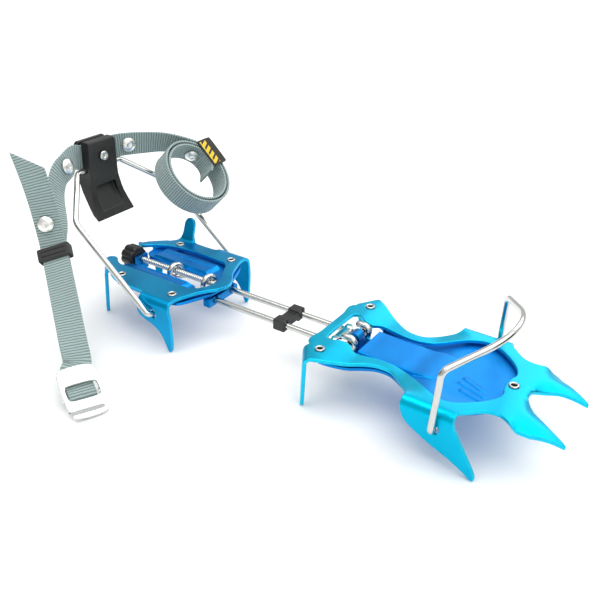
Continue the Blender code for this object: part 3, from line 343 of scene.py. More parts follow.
def woven_tag(name):
    """A satin-woven tag: a black ground with a plain yellow band of slanting dashes along one long side."""
    look = Nodes(name)
    across, along, _ = look.split("weave")
    band = look.math("MULTIPLY", look.math("LESS_THAN", across, 0.6), look.math("GREATER_THAN", across, -6.0))
    inside_ends = look.math("LESS_THAN", look.math("ABSOLUTE", along, 0), 9.4)
    slant = look.math("ADD", look.math("MULTIPLY", along, 2 * math.pi / 4.6),
                      look.math("MULTIPLY", across, 2 * math.pi / 9.0))
    dash = look.math("GREATER_THAN", look.math("SINE", slant, 0), -0.35)
    line = look.math("LESS_THAN", look.math("ABSOLUTE", look.math("SUBTRACT", across, -5.2), 0), 0.5)
    mark = look.math("MULTIPLY", look.math("MAXIMUM", look.math("MULTIPLY", band, dash), line), inside_ends)
    threads = look.math("MULTIPLY", look.math("SINE", look.math("MULTIPLY", along, 2 * math.pi / 0.36), 0),
                        look.math("SINE", look.math("MULTIPLY", across, 2 * math.pi / 0.36), 0))
    thread = look.spread(threads, -1, 1, 0.75, 1.0)
    black = look.mix(thread, (0.008, 0.008, 0.008), (0.02, 0.019, 0.017))
    yellow = look.mix(thread, (0.38, 0.26, 0.01), (0.75, 0.52, 0.03))
    look.set(Base_Color=look.mix(mark, black, yellow), Roughness=0.72)
    look.bump(look.math("ADD", threads, look.noise(5000, 2)), 0.00006, 0.5)
    return look.material


# ---------------------------------------------------------------- shapes

def shown(name, mesh):
    made = bpy.data.objects.new(name, mesh)
    bpy.context.scene.collection.objects.link(made)
    return made


def mesh_object(name, bm, smooth=35):
    """Takes a bmesh in millimetres and makes the object in metres."""
    bmesh.ops.scale(bm, vec=(MM, MM, MM), verts=bm.verts)
    bmesh.ops.recalc_face_normals(bm, faces=bm.faces)
    mesh = bpy.data.meshes.new(name)
    bm.to_mesh(mesh)
    bm.free()
    mesh.shade_smooth()
    mesh.set_sharp_from_angle(angle=math.radians(smooth))
    return shown(name, mesh)


def axes(across, up):
    return Matrix((across, up, across.cross(up))).transposed().to_4x4()


def box(bm, size, centre, turn=None):
    matrix = Matrix.Translation(Vector(centre)) @ (turn or Matrix.Identity(4)) @ Matrix.Diagonal((*size, 1))
    bmesh.ops.create_cube(bm, size=1, matrix=matrix)


def rod(bm, start, end, radius, segments=40):
    start, end = Vector(start), Vector(end)
    turn = (end - start).to_track_quat("Z", "Y").to_matrix().to_4x4()
    matrix = Matrix.Translation((start + end) / 2) @ turn
    bmesh.ops.create_cone(bm, cap_ends=True, segments=segments, radius1=radius, radius2=radius,
                          depth=(end - start).length, matrix=matrix)


def block(name, *shapes):
    bm = bmesh.new()
    for make, arguments in shapes:
        make(bm, *arguments)
    return mesh_object(name, bm)


def baked(thing):
    """The object with its modifiers applied, once its helpers are no longer needed."""
    graph = bpy.context.evaluated_depsgraph_get()
    mesh = bpy.data.meshes.new_from_object(thing.evaluated_get(graph), depsgraph=graph)
    helpers = [m.object for m in thing.modifiers if m.type == "BOOLEAN"]
    thing.modifiers.clear()
    thing.data = mesh
    for helper in helpers:
        bpy.data.objects.remove(helper)
    return thing


def boolean(thing, other, operation="DIFFERENCE"):
    modifier = thing.modifiers.new("cut", "BOOLEAN")
    modifier.operation = operation
    modifier.object = other
    other.hide_render = True
    baked(thing)


def cut(thing, make, *arguments):
    boolean(thing, block("cutter", (make, arguments)))


def join(thing, make, *arguments):
    boolean(thing, block("addition", (make, arguments)), "UNION")


def bevel(thing, width, segments=3, angle=35):
    modifier = thing.modifiers.new("bevel", "BEVEL")
    modifier.width = width * MM
    modifier.segments = segments
    modifier.limit_method = "ANGLE"
    modifier.angle_limit = math.radians(angle)
    modifier.harden_normals = False
    baked(thing)
    thing.data.shade_smooth()
    thing.data.set_sharp_from_angle(angle=math.radians(35))


def even_shading(thing):
    """Broad faces keep their flat shading beside narrow rounded edges."""
    thing.modifiers.new("shading", "WEIGHTED_NORMAL").keep_sharp = True
    baked(thing)


def joined(name, *things):
    """One object from several, which are removed."""
    bm = bmesh.new()
    for thing in things:
        mesh = thing.data.copy()
        mesh.transform(thing.matrix_world)
        bm.from_mesh(mesh)
        bpy.data.objects.remove(thing)
    mesh = bpy.data.meshes.new(name)
    bm.to_mesh(mesh)
    bm.free()
    return shown(name, mesh)


def skin(bm, rings):
    """Joins each ring of vertices to the next, and closes both ends."""
    size = len(rings[0])
    for first, second in zip(rings, rings[1:]):
        for k in range(size):
            bm.faces.new((first[k], first[(k + 1) % size], second[(k + 1) % size], second[k]))
    bm.faces.new(rings[0][::-1])
    bm.faces.new(rings[-1])


def turned(name, profile, start, towards, steps=48, wobble=None):
    """A (radius, height) profile turned about the line from start; wobble changes the radius by angle and height."""
    turn = Vector(towards).to_track_quat("Z", "Y").to_matrix()
    bm = bmesh.new()
    rings = []
    for radius, height in profile:
        if radius < 1e-6:
            rings.append([bm.verts.new(Vector(start) + turn @ Vector((0, 0, height)))] * steps)
            continue
        ring = []
        for k in range(steps):
            angle = 2 * math.pi * k / steps
            here = radius + (wobble(angle, height, radius) if wobble else 0)
            ring.append(bm.verts.new(Vector(start) + turn @ Vector((here * math.cos(angle), here * math.sin(angle),
                                                                    height))))
        rings.append(ring)
    for first, second in zip(rings, rings[1:]):
        for k in range(steps):
            corners = dict.fromkeys((first[k], first[(k + 1) % steps], second[(k + 1) % steps], second[k]))
            if len(corners) > 2:
                bm.faces.new(tuple(corners))
    return mesh_object(name, bm)


def eased(before, here, after, share, steps):
    """The corner at here as a short curve that starts and ends a share of the way to its neighbours."""
    first, last = here.lerp(before, share), here.lerp(after, share)
    found = []
    for step in range(steps + 1):
        t = step / steps
        found.append((1 - t) ** 2 * first + 2 * t * (1 - t) * here + t * t * last)
    return found


def arced(profile, steps=5, share=0.42):
    """A profile with its corners eased, its two ends kept."""
    points = [Vector(p) for p in profile]
    found = [points[0]]
    for before, here, after in zip(points, points[1:], points[2:]):
        found += eased(before, here, after, share, steps)
    return [tuple(p) for p in found + [points[-1]]]


def smooth_step(value, low, high):
    share = min(1.0, max(0.0, (value - low) / (high - low)))
    return share * share * (3 - 2 * share)


def through(points, per_span):
    """A smooth curve through the points, with per_span samples between each two (Catmull-Rom)."""
    points = [Vector(point) for point in points]
    ends = [2 * points[0] - points[1], *points, 2 * points[-1] - points[-2]]
    found = []
    for a, b, c, d in zip(ends, ends[1:], ends[2:], ends[3:]):
        for step in range(per_span):
            t = step / per_span
            found.append(b + 0.5 * t * ((c - a) + t * ((2 * a - 5 * b + 4 * c - d) + t * (3 * b - a - 3 * c + d))))
    return found + [points[-1]]


def rounded(corners, radii, steps=16):
    """A polyline through the corners, each turned into an arc of its radius."""
    corners = [Vector(corner) for corner in corners]
    found = [corners[0]]
    for before, here, after, radius in zip(corners, corners[1:], corners[2:], radii):
        back, ahead = (before - here).normalized(), (after - here).normalized()
        half = back.angle(ahead) / 2
        reach = radius / math.tan(half)
        centre = here + (back + ahead).normalized() * radius / math.sin(half)
        first, last = here + back * reach - centre, here + ahead * reach - centre
        sweep = first.angle(last)
        for step in range(steps + 1):
            t = step / steps
            arm = (math.sin((1 - t) * sweep) * first + math.sin(t * sweep) * last) / math.sin(sweep)
            found.append(centre + arm)
    return found + [corners[-1]]


def mirrored(half):
    return half + [Vector((p.x, -p.y, p.z)) for p in reversed(half[:-1] if abs(half[-1].y) < 1e-6 else half)]


def wire(name, points, diameter, sides=24):
    """Round wire along the points, with eased ends."""
    points = [Vector(p) for p in points]
    kept = [points[0]]
    for point in points[1:]:
        if (point - kept[-1]).length > 0.15:
            kept.append(point)
    points = kept
    radius = diameter / 2
    along = [(points[min(k + 1, len(points) - 1)] - points[max(k - 1, 0)]).normalized() for k in range(len(points))]
    side = along[0].orthogonal().normalized()
    bm = bmesh.new()
    rings = []

    def ring(centre, across, towards, size):
        other = towards.cross(across)
        rings.append([bm.verts.new(centre + size * (math.cos(2 * math.pi * k / sides) * across
                                                    + math.sin(2 * math.pi * k / sides) * other))
                      for k in range(sides)])

    ring(points[0], side, along[0], radius - 0.5)
    ring(points[0] + along[0] * 0.15, side, along[0], radius - 0.15)
    for k, (point, towards) in enumerate(zip(points, along)):
        side = (side - side.dot(towards) * towards).normalized()
        if 0 < k < len(points) - 1:
            ring(point, side, towards, radius)
        elif k == 0:
            ring(point + towards * 0.5, side, towards, radius)
        else:
            ring(point - towards * 0.5, side, towards, radius)
    ring(points[-1] - along[-1] * 0.15, side, along[-1], radius - 0.15)
    ring(points[-1], side, along[-1], radius - 0.5)
    skin(bm, rings)
    return mesh_object(name, bm, 50)


def weave_attribute(mesh, values):
    found = mesh.attributes.new("weave", "FLOAT_VECTOR", "POINT")
    found.data.foreach_set("vector", [c for value in values for c in value])


SLANT_REACH = 22  # the stretch of tape that takes up a slanted end
# Half a cross-section of webbing, as shares of half its width and half its thickness, and how much rib shows there
TAPE = [(0.0, 1, 1), (0.25, 1, 1), (0.5, 1, 1), (0.75, 1, 1), (0.885, 1, 0.9), (0.905, 0.9, 0), (0.925, 1.06, 0.15),
        (0.965, 1.0, 0.1), (0.992, 0.6, 0), (1.0, 0.0, 0)]


def ribbon(name, route, sides, width=WEB_WIDTH, thickness=WEB, ribs=0.15, slant=None):
    """Webbing along a smooth route, with crosswise ribs and a beaded edge; slant shortens its far end across it."""
    middles, across = through(route, 24), through(sides, 24)
    lengths = [0.0]
    for a, b in zip(middles, middles[1:]):
        lengths.append(lengths[-1] + (b - a).length)
    total = lengths[-1]
    count = max(8, round(total / (RIB_PITCH / 7)))
    where = np.interp(np.linspace(0, total, count + 1), lengths, range(len(lengths)))

    def frame_at(spot):
        k = min(int(spot), len(middles) - 2)
        t = spot - k
        low, high = max(k - 6, 0), min(k + 7, len(middles) - 1)
        along = (middles[high] - middles[low]).normalized()
        side = across[k].lerp(across[k + 1], t)
        side = (side - side.dot(along) * along).normalized()
        return middles[k].lerp(middles[k + 1], t), along, side, along.cross(side).normalized()

    ring_shape = [(a, b, r) for a, b, r in TAPE] + [(a, -b, r) for a, b, r in reversed(TAPE[:-1])]
    ring_shape += [(-a, b, r) for a, b, r in ring_shape[-2:0:-1]]
    bm = bmesh.new()
    rings, values = [], []
    for spot in where:
        middle, along, side, face = frame_at(float(spot))
        travelled = float(np.interp(spot, range(len(lengths)), lengths))
        rib = ribs * (0.5 + 0.5 * math.cos(2 * math.pi * travelled / RIB_PITCH)) - ribs
        ends = smooth_step(travelled, 0, 0.5) * (1 - smooth_step(travelled, total - 0.5, total))
        ring = []
        for a, b, share in ring_shape:
            cut = slant(a * width / 2) * max(0.0, 1 - (total - travelled) / SLANT_REACH) if slant else 0.0
            lift = b * (thickness / 2) * (0.55 + 0.45 * ends) + math.copysign(1, b) * rib * share * (b != 0)
            ring.append(bm.verts.new(middle + side * a * width / 2 + face * lift - along * cut))
            values.append((a * width / 2, travelled - cut, b))
        rings.append(ring)
    skin(bm, rings)
    made = mesh_object(name, bm, 70)
    weave_attribute(made.data, values)
    return made


# ---------------------------------------------------------------- sheet metal

def softened(loop, steps=4, share=0.45):
    """A closed loop with each corner turned into a short arc."""
    found = []
    for k, here in enumerate(loop):
        found += eased(Vector(loop[k - 1]), Vector(here), Vector(loop[(k + 1) % len(loop)]), share, steps)
    return found


def evened(loop, longest):
    found = []
    for a, b in zip(loop, loop[1:] + loop[:1]):
        count = max(1, math.ceil((b - a).length / longest))
        if (b - a).length > 0.02:
            found += [a.lerp(b, step / count) for step in range(count)]
    return found


def inward(loop, solid_inside):
    area = sum(a.x * b.y - b.x * a.y for a, b in zip(loop, loop[1:] + loop[:1]))
    turn = 1 if (area > 0) == solid_inside else -1
    found = []
    for k in range(len(loop)):
        along = (loop[(k + 1) % len(loop)] - loop[k - 1]).normalized()
        found.append(turn * Vector((-along.y, along.x)))
    return found


def within(points, loop):
    """For each of the points, whether it lies inside the loop."""
    found = np.zeros(len(points), bool)
    for a, b in zip(loop, loop[1:] + loop[:1]):
        if a[1] != b[1]:
            level = (a[1] > points[:, 1]) != (b[1] > points[:, 1])
            found ^= level & (points[:, 0] < a[0] + (b[0] - a[0]) * (points[:, 1] - a[1]) / (b[1] - a[1]))
    return found


def away_from(points, others, reach):
    if not len(points):
        return np.zeros(0, bool)
    nearest = np.full(len(points), np.inf)
    for start in range(0, len(others), 400):
        some = others[start:start + 400]
        nearest = np.minimum(nearest, ((points[:, None] - some[None]) ** 2).sum(2).min(1))
    return nearest > reach * reach


def sheet(name, outline, holes, thickness, shape, cell=2.6, edge=0.5, rows=(), fine=1.2):
    """Sheet metal with rounded edges: the blank is triangulated, given its thickness and formed by shape.

    rows are extra points for the bends. The mesh carries the attribute rim, which is 1 on the cut edges.
    """
    loops = [evened(softened(loop), fine) for loop in (outline, *holes)]
    points, edges, starts, directions = [], [], [], []
    for index, loop in enumerate(loops):
        starts.append(len(points))
        directions.append(inward(loop, index == 0))
        points += [p + d * edge for p, d in zip(loop, directions[-1])]
        edges += [(starts[-1] + k, starts[-1] + (k + 1) % len(loop)) for k in range(len(loop))]
    border = np.array(points)
    insets = [[tuple(p) for p in points[a:a + len(loop)]] for a, loop in zip(starts, loops)]

    def in_sheet(spots):
        found = within(spots, insets[0])
        for hole in insets[1:]:
            found &= ~within(spots, hole)
        return found

    extra = np.array([p for row in rows for p in row]).reshape(-1, 2)
    if len(extra):
        extra = extra[in_sheet(extra)]
        extra = extra[away_from(extra, border, 0.55)]
    low, high = border.min(0), border.max(0)
    reach = max(abs(low[1]), abs(high[1]))
    steps = int(reach / cell) + 1
    grid = np.array([(low[0] + (i + 0.5 * (j % 2)) * cell, j * cell) for i in range(int((high[0] - low[0]) / cell) + 1)
                     for j in range(-steps, steps + 1)])
    grid = grid[in_sheet(grid)]
    grid = grid[away_from(grid, border, cell * 0.55)]
    if len(extra):
        grid = grid[away_from(grid, extra, cell * 0.45)]
        points += [Vector(p) for p in extra]
    points += [Vector(p) for p in grid]
    flat, _, faces, origin, *_ = delaunay_2d_cdt(points, edges, [], 0, 1e-5)
    made_from = {source: k for k, sources in enumerate(origin) for source in sources}
    middles = np.array([tuple(sum((flat[k] for k in face), Vector((0, 0))) / 3) for face in faces])
    faces = [face for face, good in zip(faces, in_sheet(middles)) if good]
    bm = bmesh.new()
    used = sorted({k for face in faces for k in face})
    top = {k: bm.verts.new(shape(flat[k].x, flat[k].y, thickness / 2)) for k in used}
    foot = {k: bm.verts.new(shape(flat[k].x, flat[k].y, -thickness / 2)) for k in used}
    rim = [0.0] * (2 * len(used))
    for face in faces:
        bm.faces.new([top[k] for k in face])
        bm.faces.new([foot[k] for k in reversed(face)])
    profile = [(edge * (1 - math.sin(a)), thickness / 2 - edge * (1 - math.cos(a)))
               for a in (math.radians(30), math.radians(60), math.radians(90))]
    profile += [(inset, -height) for inset, height in reversed(profile)]
    for loop, direction, start in zip(loops, directions, starts):
        columns = []
        for k, (point, towards) in enumerate(zip(loop, direction)):
            source = made_from[start + k]
            if source not in top:
                columns.append(None)
                continue
            column = [top[source]]
            for inset, height in profile:
                spot = point + towards * inset
                column.append(bm.verts.new(shape(spot.x, spot.y, height)))
                rim.append(1.0)
            columns.append(column + [foot[source]])
        for first, second in zip(columns, columns[1:] + columns[:1]):
            if first is None or second is None:
                continue
            for k in range(len(first) - 1):
                corners = tuple(dict.fromkeys((first[k], second[k], second[k + 1], first[k + 1])))
                if len(corners) > 2:
                    bm.faces.new(corners)
    made = mesh_object(name, bm, 50)
    found = made.data.attributes.new("rim", "FLOAT", "POINT")
    found.data.foreach_set("value", rim)
    even_shading(made)
    return made


def folded(place, start, outward, angle, radius):
    """Rolls what lies beyond a bend line down by angle, round a bend whose radius is that of the sheet's middle."""
    outward = Vector((*outward, 0)).normalized()
    reach = (place - Vector((*start, place.z))).dot(outward)
    if reach <= 0:
        return place
    turned_by = min(reach / radius, angle)
    straight = max(0.0, reach - radius * angle)
    lift = radius + place.z
    along = math.sin(turned_by) * lift + math.cos(turned_by) * straight
    height = math.cos(turned_by) * lift - radius - math.sin(turned_by) * straight
    flat = place - reach * outward
    return Vector((flat.x, flat.y, 0)) + outward * along + Vector((0, 0, height))


def ring_of(centre, radius, count=20):
    return [(centre[0] + radius * math.cos(2 * math.pi * k / count),
             centre[1] + radius * math.sin(2 * math.pi * k / count)) for k in range(count)]


def row(start, end, step=1.6):
    """Evenly spaced points from start to end."""
    start, end = Vector(start), Vector(end)
    count = max(1, round((end - start).length / step))
    return [tuple(start.lerp(end, k / count)) for k in range(count + 1)]


def flange_point(x, z, bend_y, radius, angle):
    return x, bend_y + radius * angle + (-z - SHEET / 2 - radius) / math.sin(angle)


def both_sides(half):
    return half + [(x, -y) for x, y in reversed(half)]


def place_piece(thing, body, look, *nodes):
    """Gives a piece its material and its body, in place of the CAD nodes."""
    thing.data.materials.clear()
    thing.data.materials.append(look)
    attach(thing, body)
    if nodes:
        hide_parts(*nodes)
    return thing


def place_shaded(thing, body, look, *nodes):
    even_shading(thing)
    place_piece(thing, body, look, *nodes)


# ---------------------------------------------------------------- toe section

def toe_dip(x):
    return -DIP * smooth_step(x, 8, 28) * (1 - smooth_step(x, 54, 76))


SPIKE_START, SPIKE_END = Vector((0.0, 27.5)), Vector((8.9, 41.5))
SPIKE_ALONG = (SPIKE_END - SPIKE_START).normalized()
SPIKE_OUT = Vector((-SPIKE_ALONG.y, SPIKE_ALONG.x))
SPIKE_RADIUS = 3.5


def on_spike(along, out):
    return tuple(SPIKE_START + SPIKE_ALONG * along + SPIKE_OUT * out)


def toe_flange(x, z):
    return flange_point(x, z, TOE_BEND_Y, TOE_BEND_RADIUS, TOE_BEND_ANGLE)


TOE_REAR = [(-2.6, 15), (-4.2, 21), (-3.0, 26)]
TOE_SPIKE = [on_spike(*p) for p in ((0, 0), (1.2, 5), (5.0, 22), (8.2, 34), (9.3, 36.4), (11, 37.2), (12.6, 36.2),
                                    (13.6, 30), (15.4, 9), (16.6, 0))]
TOE_SIDE = [(13.5, 39.0), (19.0, 34.9), (27.0, 29.2), (33.0, 24.9), (38.5, 21.9), (45.0, 21.1), (50.0, 22.0),
            (56.0, 26.8), (61.5, 31.8), (65.0, 35.4), (66.4, 38.0)]
TOE_FLANGE = [toe_flange(*p) for p in ((66.3, -4.0), (67.7, -9.8), (70.2, -13.9), (77.1, -18.3), (84.7, -22.5),
                                       (91.7, -25.7), (98.6, -28.9), (105.6, -33.2), (108.6, -35.6), (110.2, -36.4),
                                       (111.4, -35.4), (111.2, -32.6), (107.9, -25.9), (103.7, -18.3),
                                       (99.5, -10.8), (97.0, -6.0))]
TOE_FRONT = [(96.6, 39.0), (100.2, 36.6), (104.4, 32.0), (109.0, 28.6), (115.4, 27.8), (121.7, 31.0), (126.2, 30.6),
             (131.4, 28.6), (137.2, 26.1), (143.2, 23.7), (147.0, 22.4), (148.3, 21.2), (147.4, 19.9),
             (141.5, 18.2), (134.5, 15.4), (128.5, 11.6), (124.0, 7.4), (121.2, 3.0)]
TOE_WINDOW_HALF = [(3.2, 15.5), (5.6, 17.6), (8.6, 16.6), (11.5, 14.2), (16.5, 13.2), (19.2, 13.8), (21.3, 16.6),
                   (24.6, 18.0), (29.5, 17.0), (38.0, 15.4), (47.0, 15.1), (55.0, 17.2), (62.0, 21.2), (68.5, 26.0),
                   (76.5, 31.0), (82.0, 33.5), (87.5, 33.8), (93.7, 31.0), (102.0, 24.2), (107.0, 18.4),
                   (109.6, 13.0), (109.8, 9.0), (108.0, 5.0)]
TOE_RIVETS = (("front", 112, 0), ("left", 7.6, 29.9), ("right", 7.6, -29.9))


def toe_point_curve(x, y):
    droop = -10 * max(0.0, (x - 113) / 35) ** 1.7
    ridge = 17 + 5 * (x - 112) / 36
    crown = -0.035 * (abs(y) - ridge) ** 2 * smooth_step(x, 119, 130)
    return droop + max(crown, -2.6)


def toe_shape(x, y, h):
    side = 1 if y >= 0 else -1
    place = Vector((x, abs(y), h))
    if 60 < x < 114 and place.y > TOE_BEND_Y:
        place = folded(place, (x, TOE_BEND_Y), (0, 1), TOE_BEND_ANGLE, TOE_BEND_RADIUS)
    elif x < 12 and place.y > 20:
        place = folded(place, SPIKE_START, SPIKE_OUT, math.radians(88.5), SPIKE_RADIUS)
    flat_part = 1 - smooth_step(abs(y), 33, 39) * smooth_step(x, 50, 62)
    place.z += toe_dip(x) * flat_part + toe_point_curve(x, y) - SHEET / 2
    place.y *= side
    return place


def toe_plate():
    rows = []
    for side in (-1, 1):
        for k in range(7):
            out = SPIKE_RADIUS * math.radians(88.5) * k / 6
            first, last = on_spike(1.0, out), on_spike(16.0, out)
            rows.append(row((first[0], side * first[1]), (last[0], side * last[1])))
        for k in range(9):
            y = side * (TOE_BEND_Y + TOE_BEND_RADIUS * TOE_BEND_ANGLE * k / 8)
            rows.append(row((66.0, y), (98.0, y)))
    pivot = toe_flange(*TOE_PIVOT)
    holes = [both_sides(TOE_WINDOW_HALF), *(ring_of((x, y), RIVET_HOLE_RADIUS) for _, x, y in TOE_RIVETS)]
    holes += [ring_of((pivot[0], side * pivot[1]), PIVOT_HOLE_RADIUS) for side in (-1, 1)]
    outline = both_sides([(-2.6, 5.0)] + TOE_REAR + TOE_SPIKE + TOE_SIDE + TOE_FLANGE + TOE_FRONT)
    place_piece(sheet("toe_plate_formed", outline, holes, SHEET, toe_shape, 2.6, 0.55, rows), "toe", LOOK["toe_blue"],
                "toe_plate")


TONGUE = (23.5, 13.4, 14.6)
TONGUE_RISE = 2.6
EMBOSS = [((86.6, -3.2), (97.6, -8.4), 1.5), ((85.8, -8.4), (100.6, -13.4), 1.5), ((89.0, -14.6), (100.6, -17.8), 1.5)]


def bar_rise(x, y, bars, soft=0.5):
    """How far a point lies within a set of raised, round-ended bars: 0 outside, 1 on top."""
    rise = 0.0
    for start, end, half in bars:
        start, end, point = Vector(start), Vector(end), Vector((x, y))
        share = max(0.0, min(1.0, (point - start).dot(end - start) / (end - start).length_squared))
        rise = max(rise, 1 - smooth_step((start.lerp(end, share) - point).length, half - soft, half + soft))
    return rise


def toe_insert_shape(x, y, h):
    rise = TONGUE_RISE * (1 - smooth_step(abs(y), TONGUE[1], TONGUE[2])) * (1 - smooth_step(x, 50, 80))
    if 82 < x < 104 and -21 < y < 0:
        rise += 0.45 * bar_rise(x, y, EMBOSS)
    dish = 0.7 * smooth_step(x, 60, 82) * (1 - smooth_step((abs(y) / 30) ** 2 + ((x - 88) / 26) ** 2, 0.5, 1.0))
    return Vector((x, y, INSERT_MID + h + 1.15 * toe_dip(x) + rise - dish))


def toe_insert():
    half = [(23.5, 13.2), (23.6, 20.4), (14, 22.0), (4.0, 23.5), (2.2, 30), (5.0, 35.5), (12.5, 36.5), (24, 30),
            (33, 23.4), (40, 19.8), (48, 19.6), (56, 24.0), (66, 32.0), (76, 36.3), (88, 37.3), (96, 34.5),
            (104, 28.5), (110, 21.0), (114.4, 12.0), (116.0, 5.0)]
    rows = [row((24.4, side * y), (82, side * y), 1.6) for y in (13.3, 13.7, 14.1, 14.7) for side in (-1, 1)]
    rows += [row((84.4, -0.6 - 0.6 * k), (103.0, -0.6 - 0.6 * k), 0.6) for k in range(34)]
    holes = [ring_of((x, y), RIVET_HOLE_RADIUS) for _, x, y in TOE_RIVETS]
    made = sheet("toe_insert_formed", both_sides(half), holes, INSERT_SHEET, toe_insert_shape, 2.4, 0.5, rows)
    place_piece(made, "toe", LOOK["insert_blue"], "toe_insert")


def rivet(node, x, y, body):
    """A tubular rivet: a rolled head round a bore painted near-black as painted shade, and a rolled foot under the
    insert.
    """
    foot = INSERT_TOP - INSERT_SHEET
    head = [(1.45, -1.4), (1.5, 0.25), (1.75, 0.72), (2.3, 0.95), (2.7, 0.8), (3.0, 0.35), (3.0, 0.12), (2.35, 0.12),
            (2.35, foot - 0.25), (3.3, foot - 0.3), (3.35, foot - 0.8), (2.6, foot - 1.1), (1.6, foot - 1.0),
            (1.4, foot - 0.4)]
    made = turned(node + "_turned", arced([(0, -1.4), *head, (0, foot - 0.4)], 4), (x, y, 0), (0, 0, 1), 40)
    place_piece(made, body, LOOK["rivet_steel"], node)
    made.data.materials.append(LOOK["bore"])
    # Faces inside the bore get the near-black look: painted shade in the hole.
    for face in made.data.polygons:
        flat = math.hypot(face.center.x - x * MM, face.center.y - y * MM) / MM
        face.material_index = int(flat < 1.5 and face.center.z / MM < 0.2)


def hinge():
    made = block("hinge_bracket_folded", (box, ((26.0, 22.0, 1.6), (23.5, 0, -11.7))))
    join(made, box, (8.0, 6.6, 8.6), (PIN_X, 0, -7.8))
    join(made, rod, (PIN_X, -3.3, PIN_Z), (PIN_X, 3.3, PIN_Z), 4.0, 48)
    cut(made, rod, (PIN_X, -5, PIN_Z), (PIN_X, 5, PIN_Z), PIN_RADIUS + GAP)
    bevel(made, 0.3)
    place_shaded(made, "toe", LOOK["bracket_blue"], "hinge_bracket")
    half = [(PIN_RADIUS, 0), (PIN_RADIUS, 11.4), (2.3, 11.6), (2.5, 12.0), (2.4, 12.8), (1.9, 13.2), (0, 13.25)]
    profile = [(0, -13.25)] + [(r, -h) for r, h in reversed(half[1:-1])] + half[1:]
    place_piece(turned("hinge_pin_turned", arced(profile, 3), (PIN_X, 0, PIN_Z), (0, 1, 0), 32), "toe",
                LOOK["steel"], "hinge_pin")


# ---------------------------------------------------------------- link

def eye(side):
    top = PIN_Z + EYE_RADIUS
    found = [Vector((PIN_X - 4.6, side * ROD_Y, top - 0.5)), Vector((PIN_X - 1.6, side * ROD_Y, top))]
    for step in range(36):
        turn = math.radians(80 - 170 * step / 35)
        found.append(Vector((PIN_X + EYE_RADIUS * math.cos(turn), side * ROD_Y, PIN_Z + EYE_RADIUS * math.sin(turn))))
    return found


def hook(x_start, x_end, from_degrees, to_degrees):
    found = []
    for step in range(40):
        t = step / 39
        turn = math.radians(from_degrees + t * (to_degrees - from_degrees))
        found.append(Vector((x_start + t * (x_end - x_start), HOOK_RADIUS * math.cos(turn),
                             SPINDLE_Z + HOOK_RADIUS * math.sin(turn))))
    return found


def link():
    right = eye(-1) + [Vector((x, -ROD_Y, ROD_Z)) for x in (-40.0, -92.6)]
    right += through([(-92.6, -ROD_Y, ROD_Z), (-96.2, -8.2, -8.4), (-99.0, -6.2, -8.5), (-100.3, -4.7, -7.4)], 8)[1:]
    right += hook(-100.6, -97.6, 205, -12)
    place_piece(wire("link_rod_right_bent", right, WIRE), "link", LOOK["steel"], "link_rod_right")
    left = eye(1) + [Vector((x, ROD_Y, ROD_Z)) for x in (-60.0, -121.0)]
    left += through([(-121.0, ROD_Y, ROD_Z), (-125.0, 7.6, -8.2), (-128.4, 3.8, -8.4), (-130.2, -0.8, -8.3)], 8)[1:]
    left += hook(-130.6, -126.8, 218, -12)
    place_piece(wire("link_rod_left_bent", left, WIRE), "link", LOOK["steel"], "link_rod_left")

    def saddle(x, y, h):
        rise = 1.0 * (1 - smooth_step(abs(abs(y) - ROD_Y), 0.8, 3.0))
        return Vector((x, y, -5.4 + h + rise))

    rows = [row((3.2, y), (7.2, y), 1.0) for y in np.arange(-11, 11.1, 0.7)]
    outline = both_sides([(2.6, 11.6), (6.4, 11.8), (7.8, 8.0), (8.6, 3.0)])
    place_piece(sheet("rod_saddle_pressed", outline, [], 1.4, saddle, 1.4, 0.4, rows, 0.8), "link",
                LOOK["steel"], "rod_saddle")


def slider():
    made = block("rod_slider_moulded", (box, ((8.6, 24.2, 7.4), (SLIDER_X, 0, ROD_Z))))
    for lift in (3.6, -3.6):
        cut(made, box, (12.0, 9.0, 3.0), (SLIDER_X, 0, ROD_Z + lift))
    bevel(made, 1.1, 4)
    for side in (-1, 1):
        cut(made, rod, (SLIDER_X - 8, side * ROD_Y, ROD_Z), (SLIDER_X + 8, side * ROD_Y, ROD_Z), WIRE / 2 + GAP)
        cut(made, box, (1.2, 1.2, 12.0), (SLIDER_X + 4.3, side * ROD_Y, ROD_Z))
    place_shaded(made, "slider", LOOK["black_plastic"], "rod_slider")


# ---------------------------------------------------------------- heel section

REAR_START, REAR_END = Vector((-161.2, 28.9)), Vector((-169.6, 20.9))
REAR_ALONG = (REAR_END - REAR_START).normalized()
REAR_OUT = Vector((REAR_ALONG.y, -REAR_ALONG.x))
REAR_RADIUS = 3.2
TAB_Y = 33.6
TAB_RADIUS = 5.0
TAB_ANGLE = math.radians(72)


def on_rear(along, out):
    return tuple(REAR_START + REAR_ALONG * along + REAR_OUT * out)


def heel_flange(x, z):
    return flange_point(x, z, HEEL_BEND_Y, HEEL_BEND_RADIUS, HEEL_BEND_ANGLE)


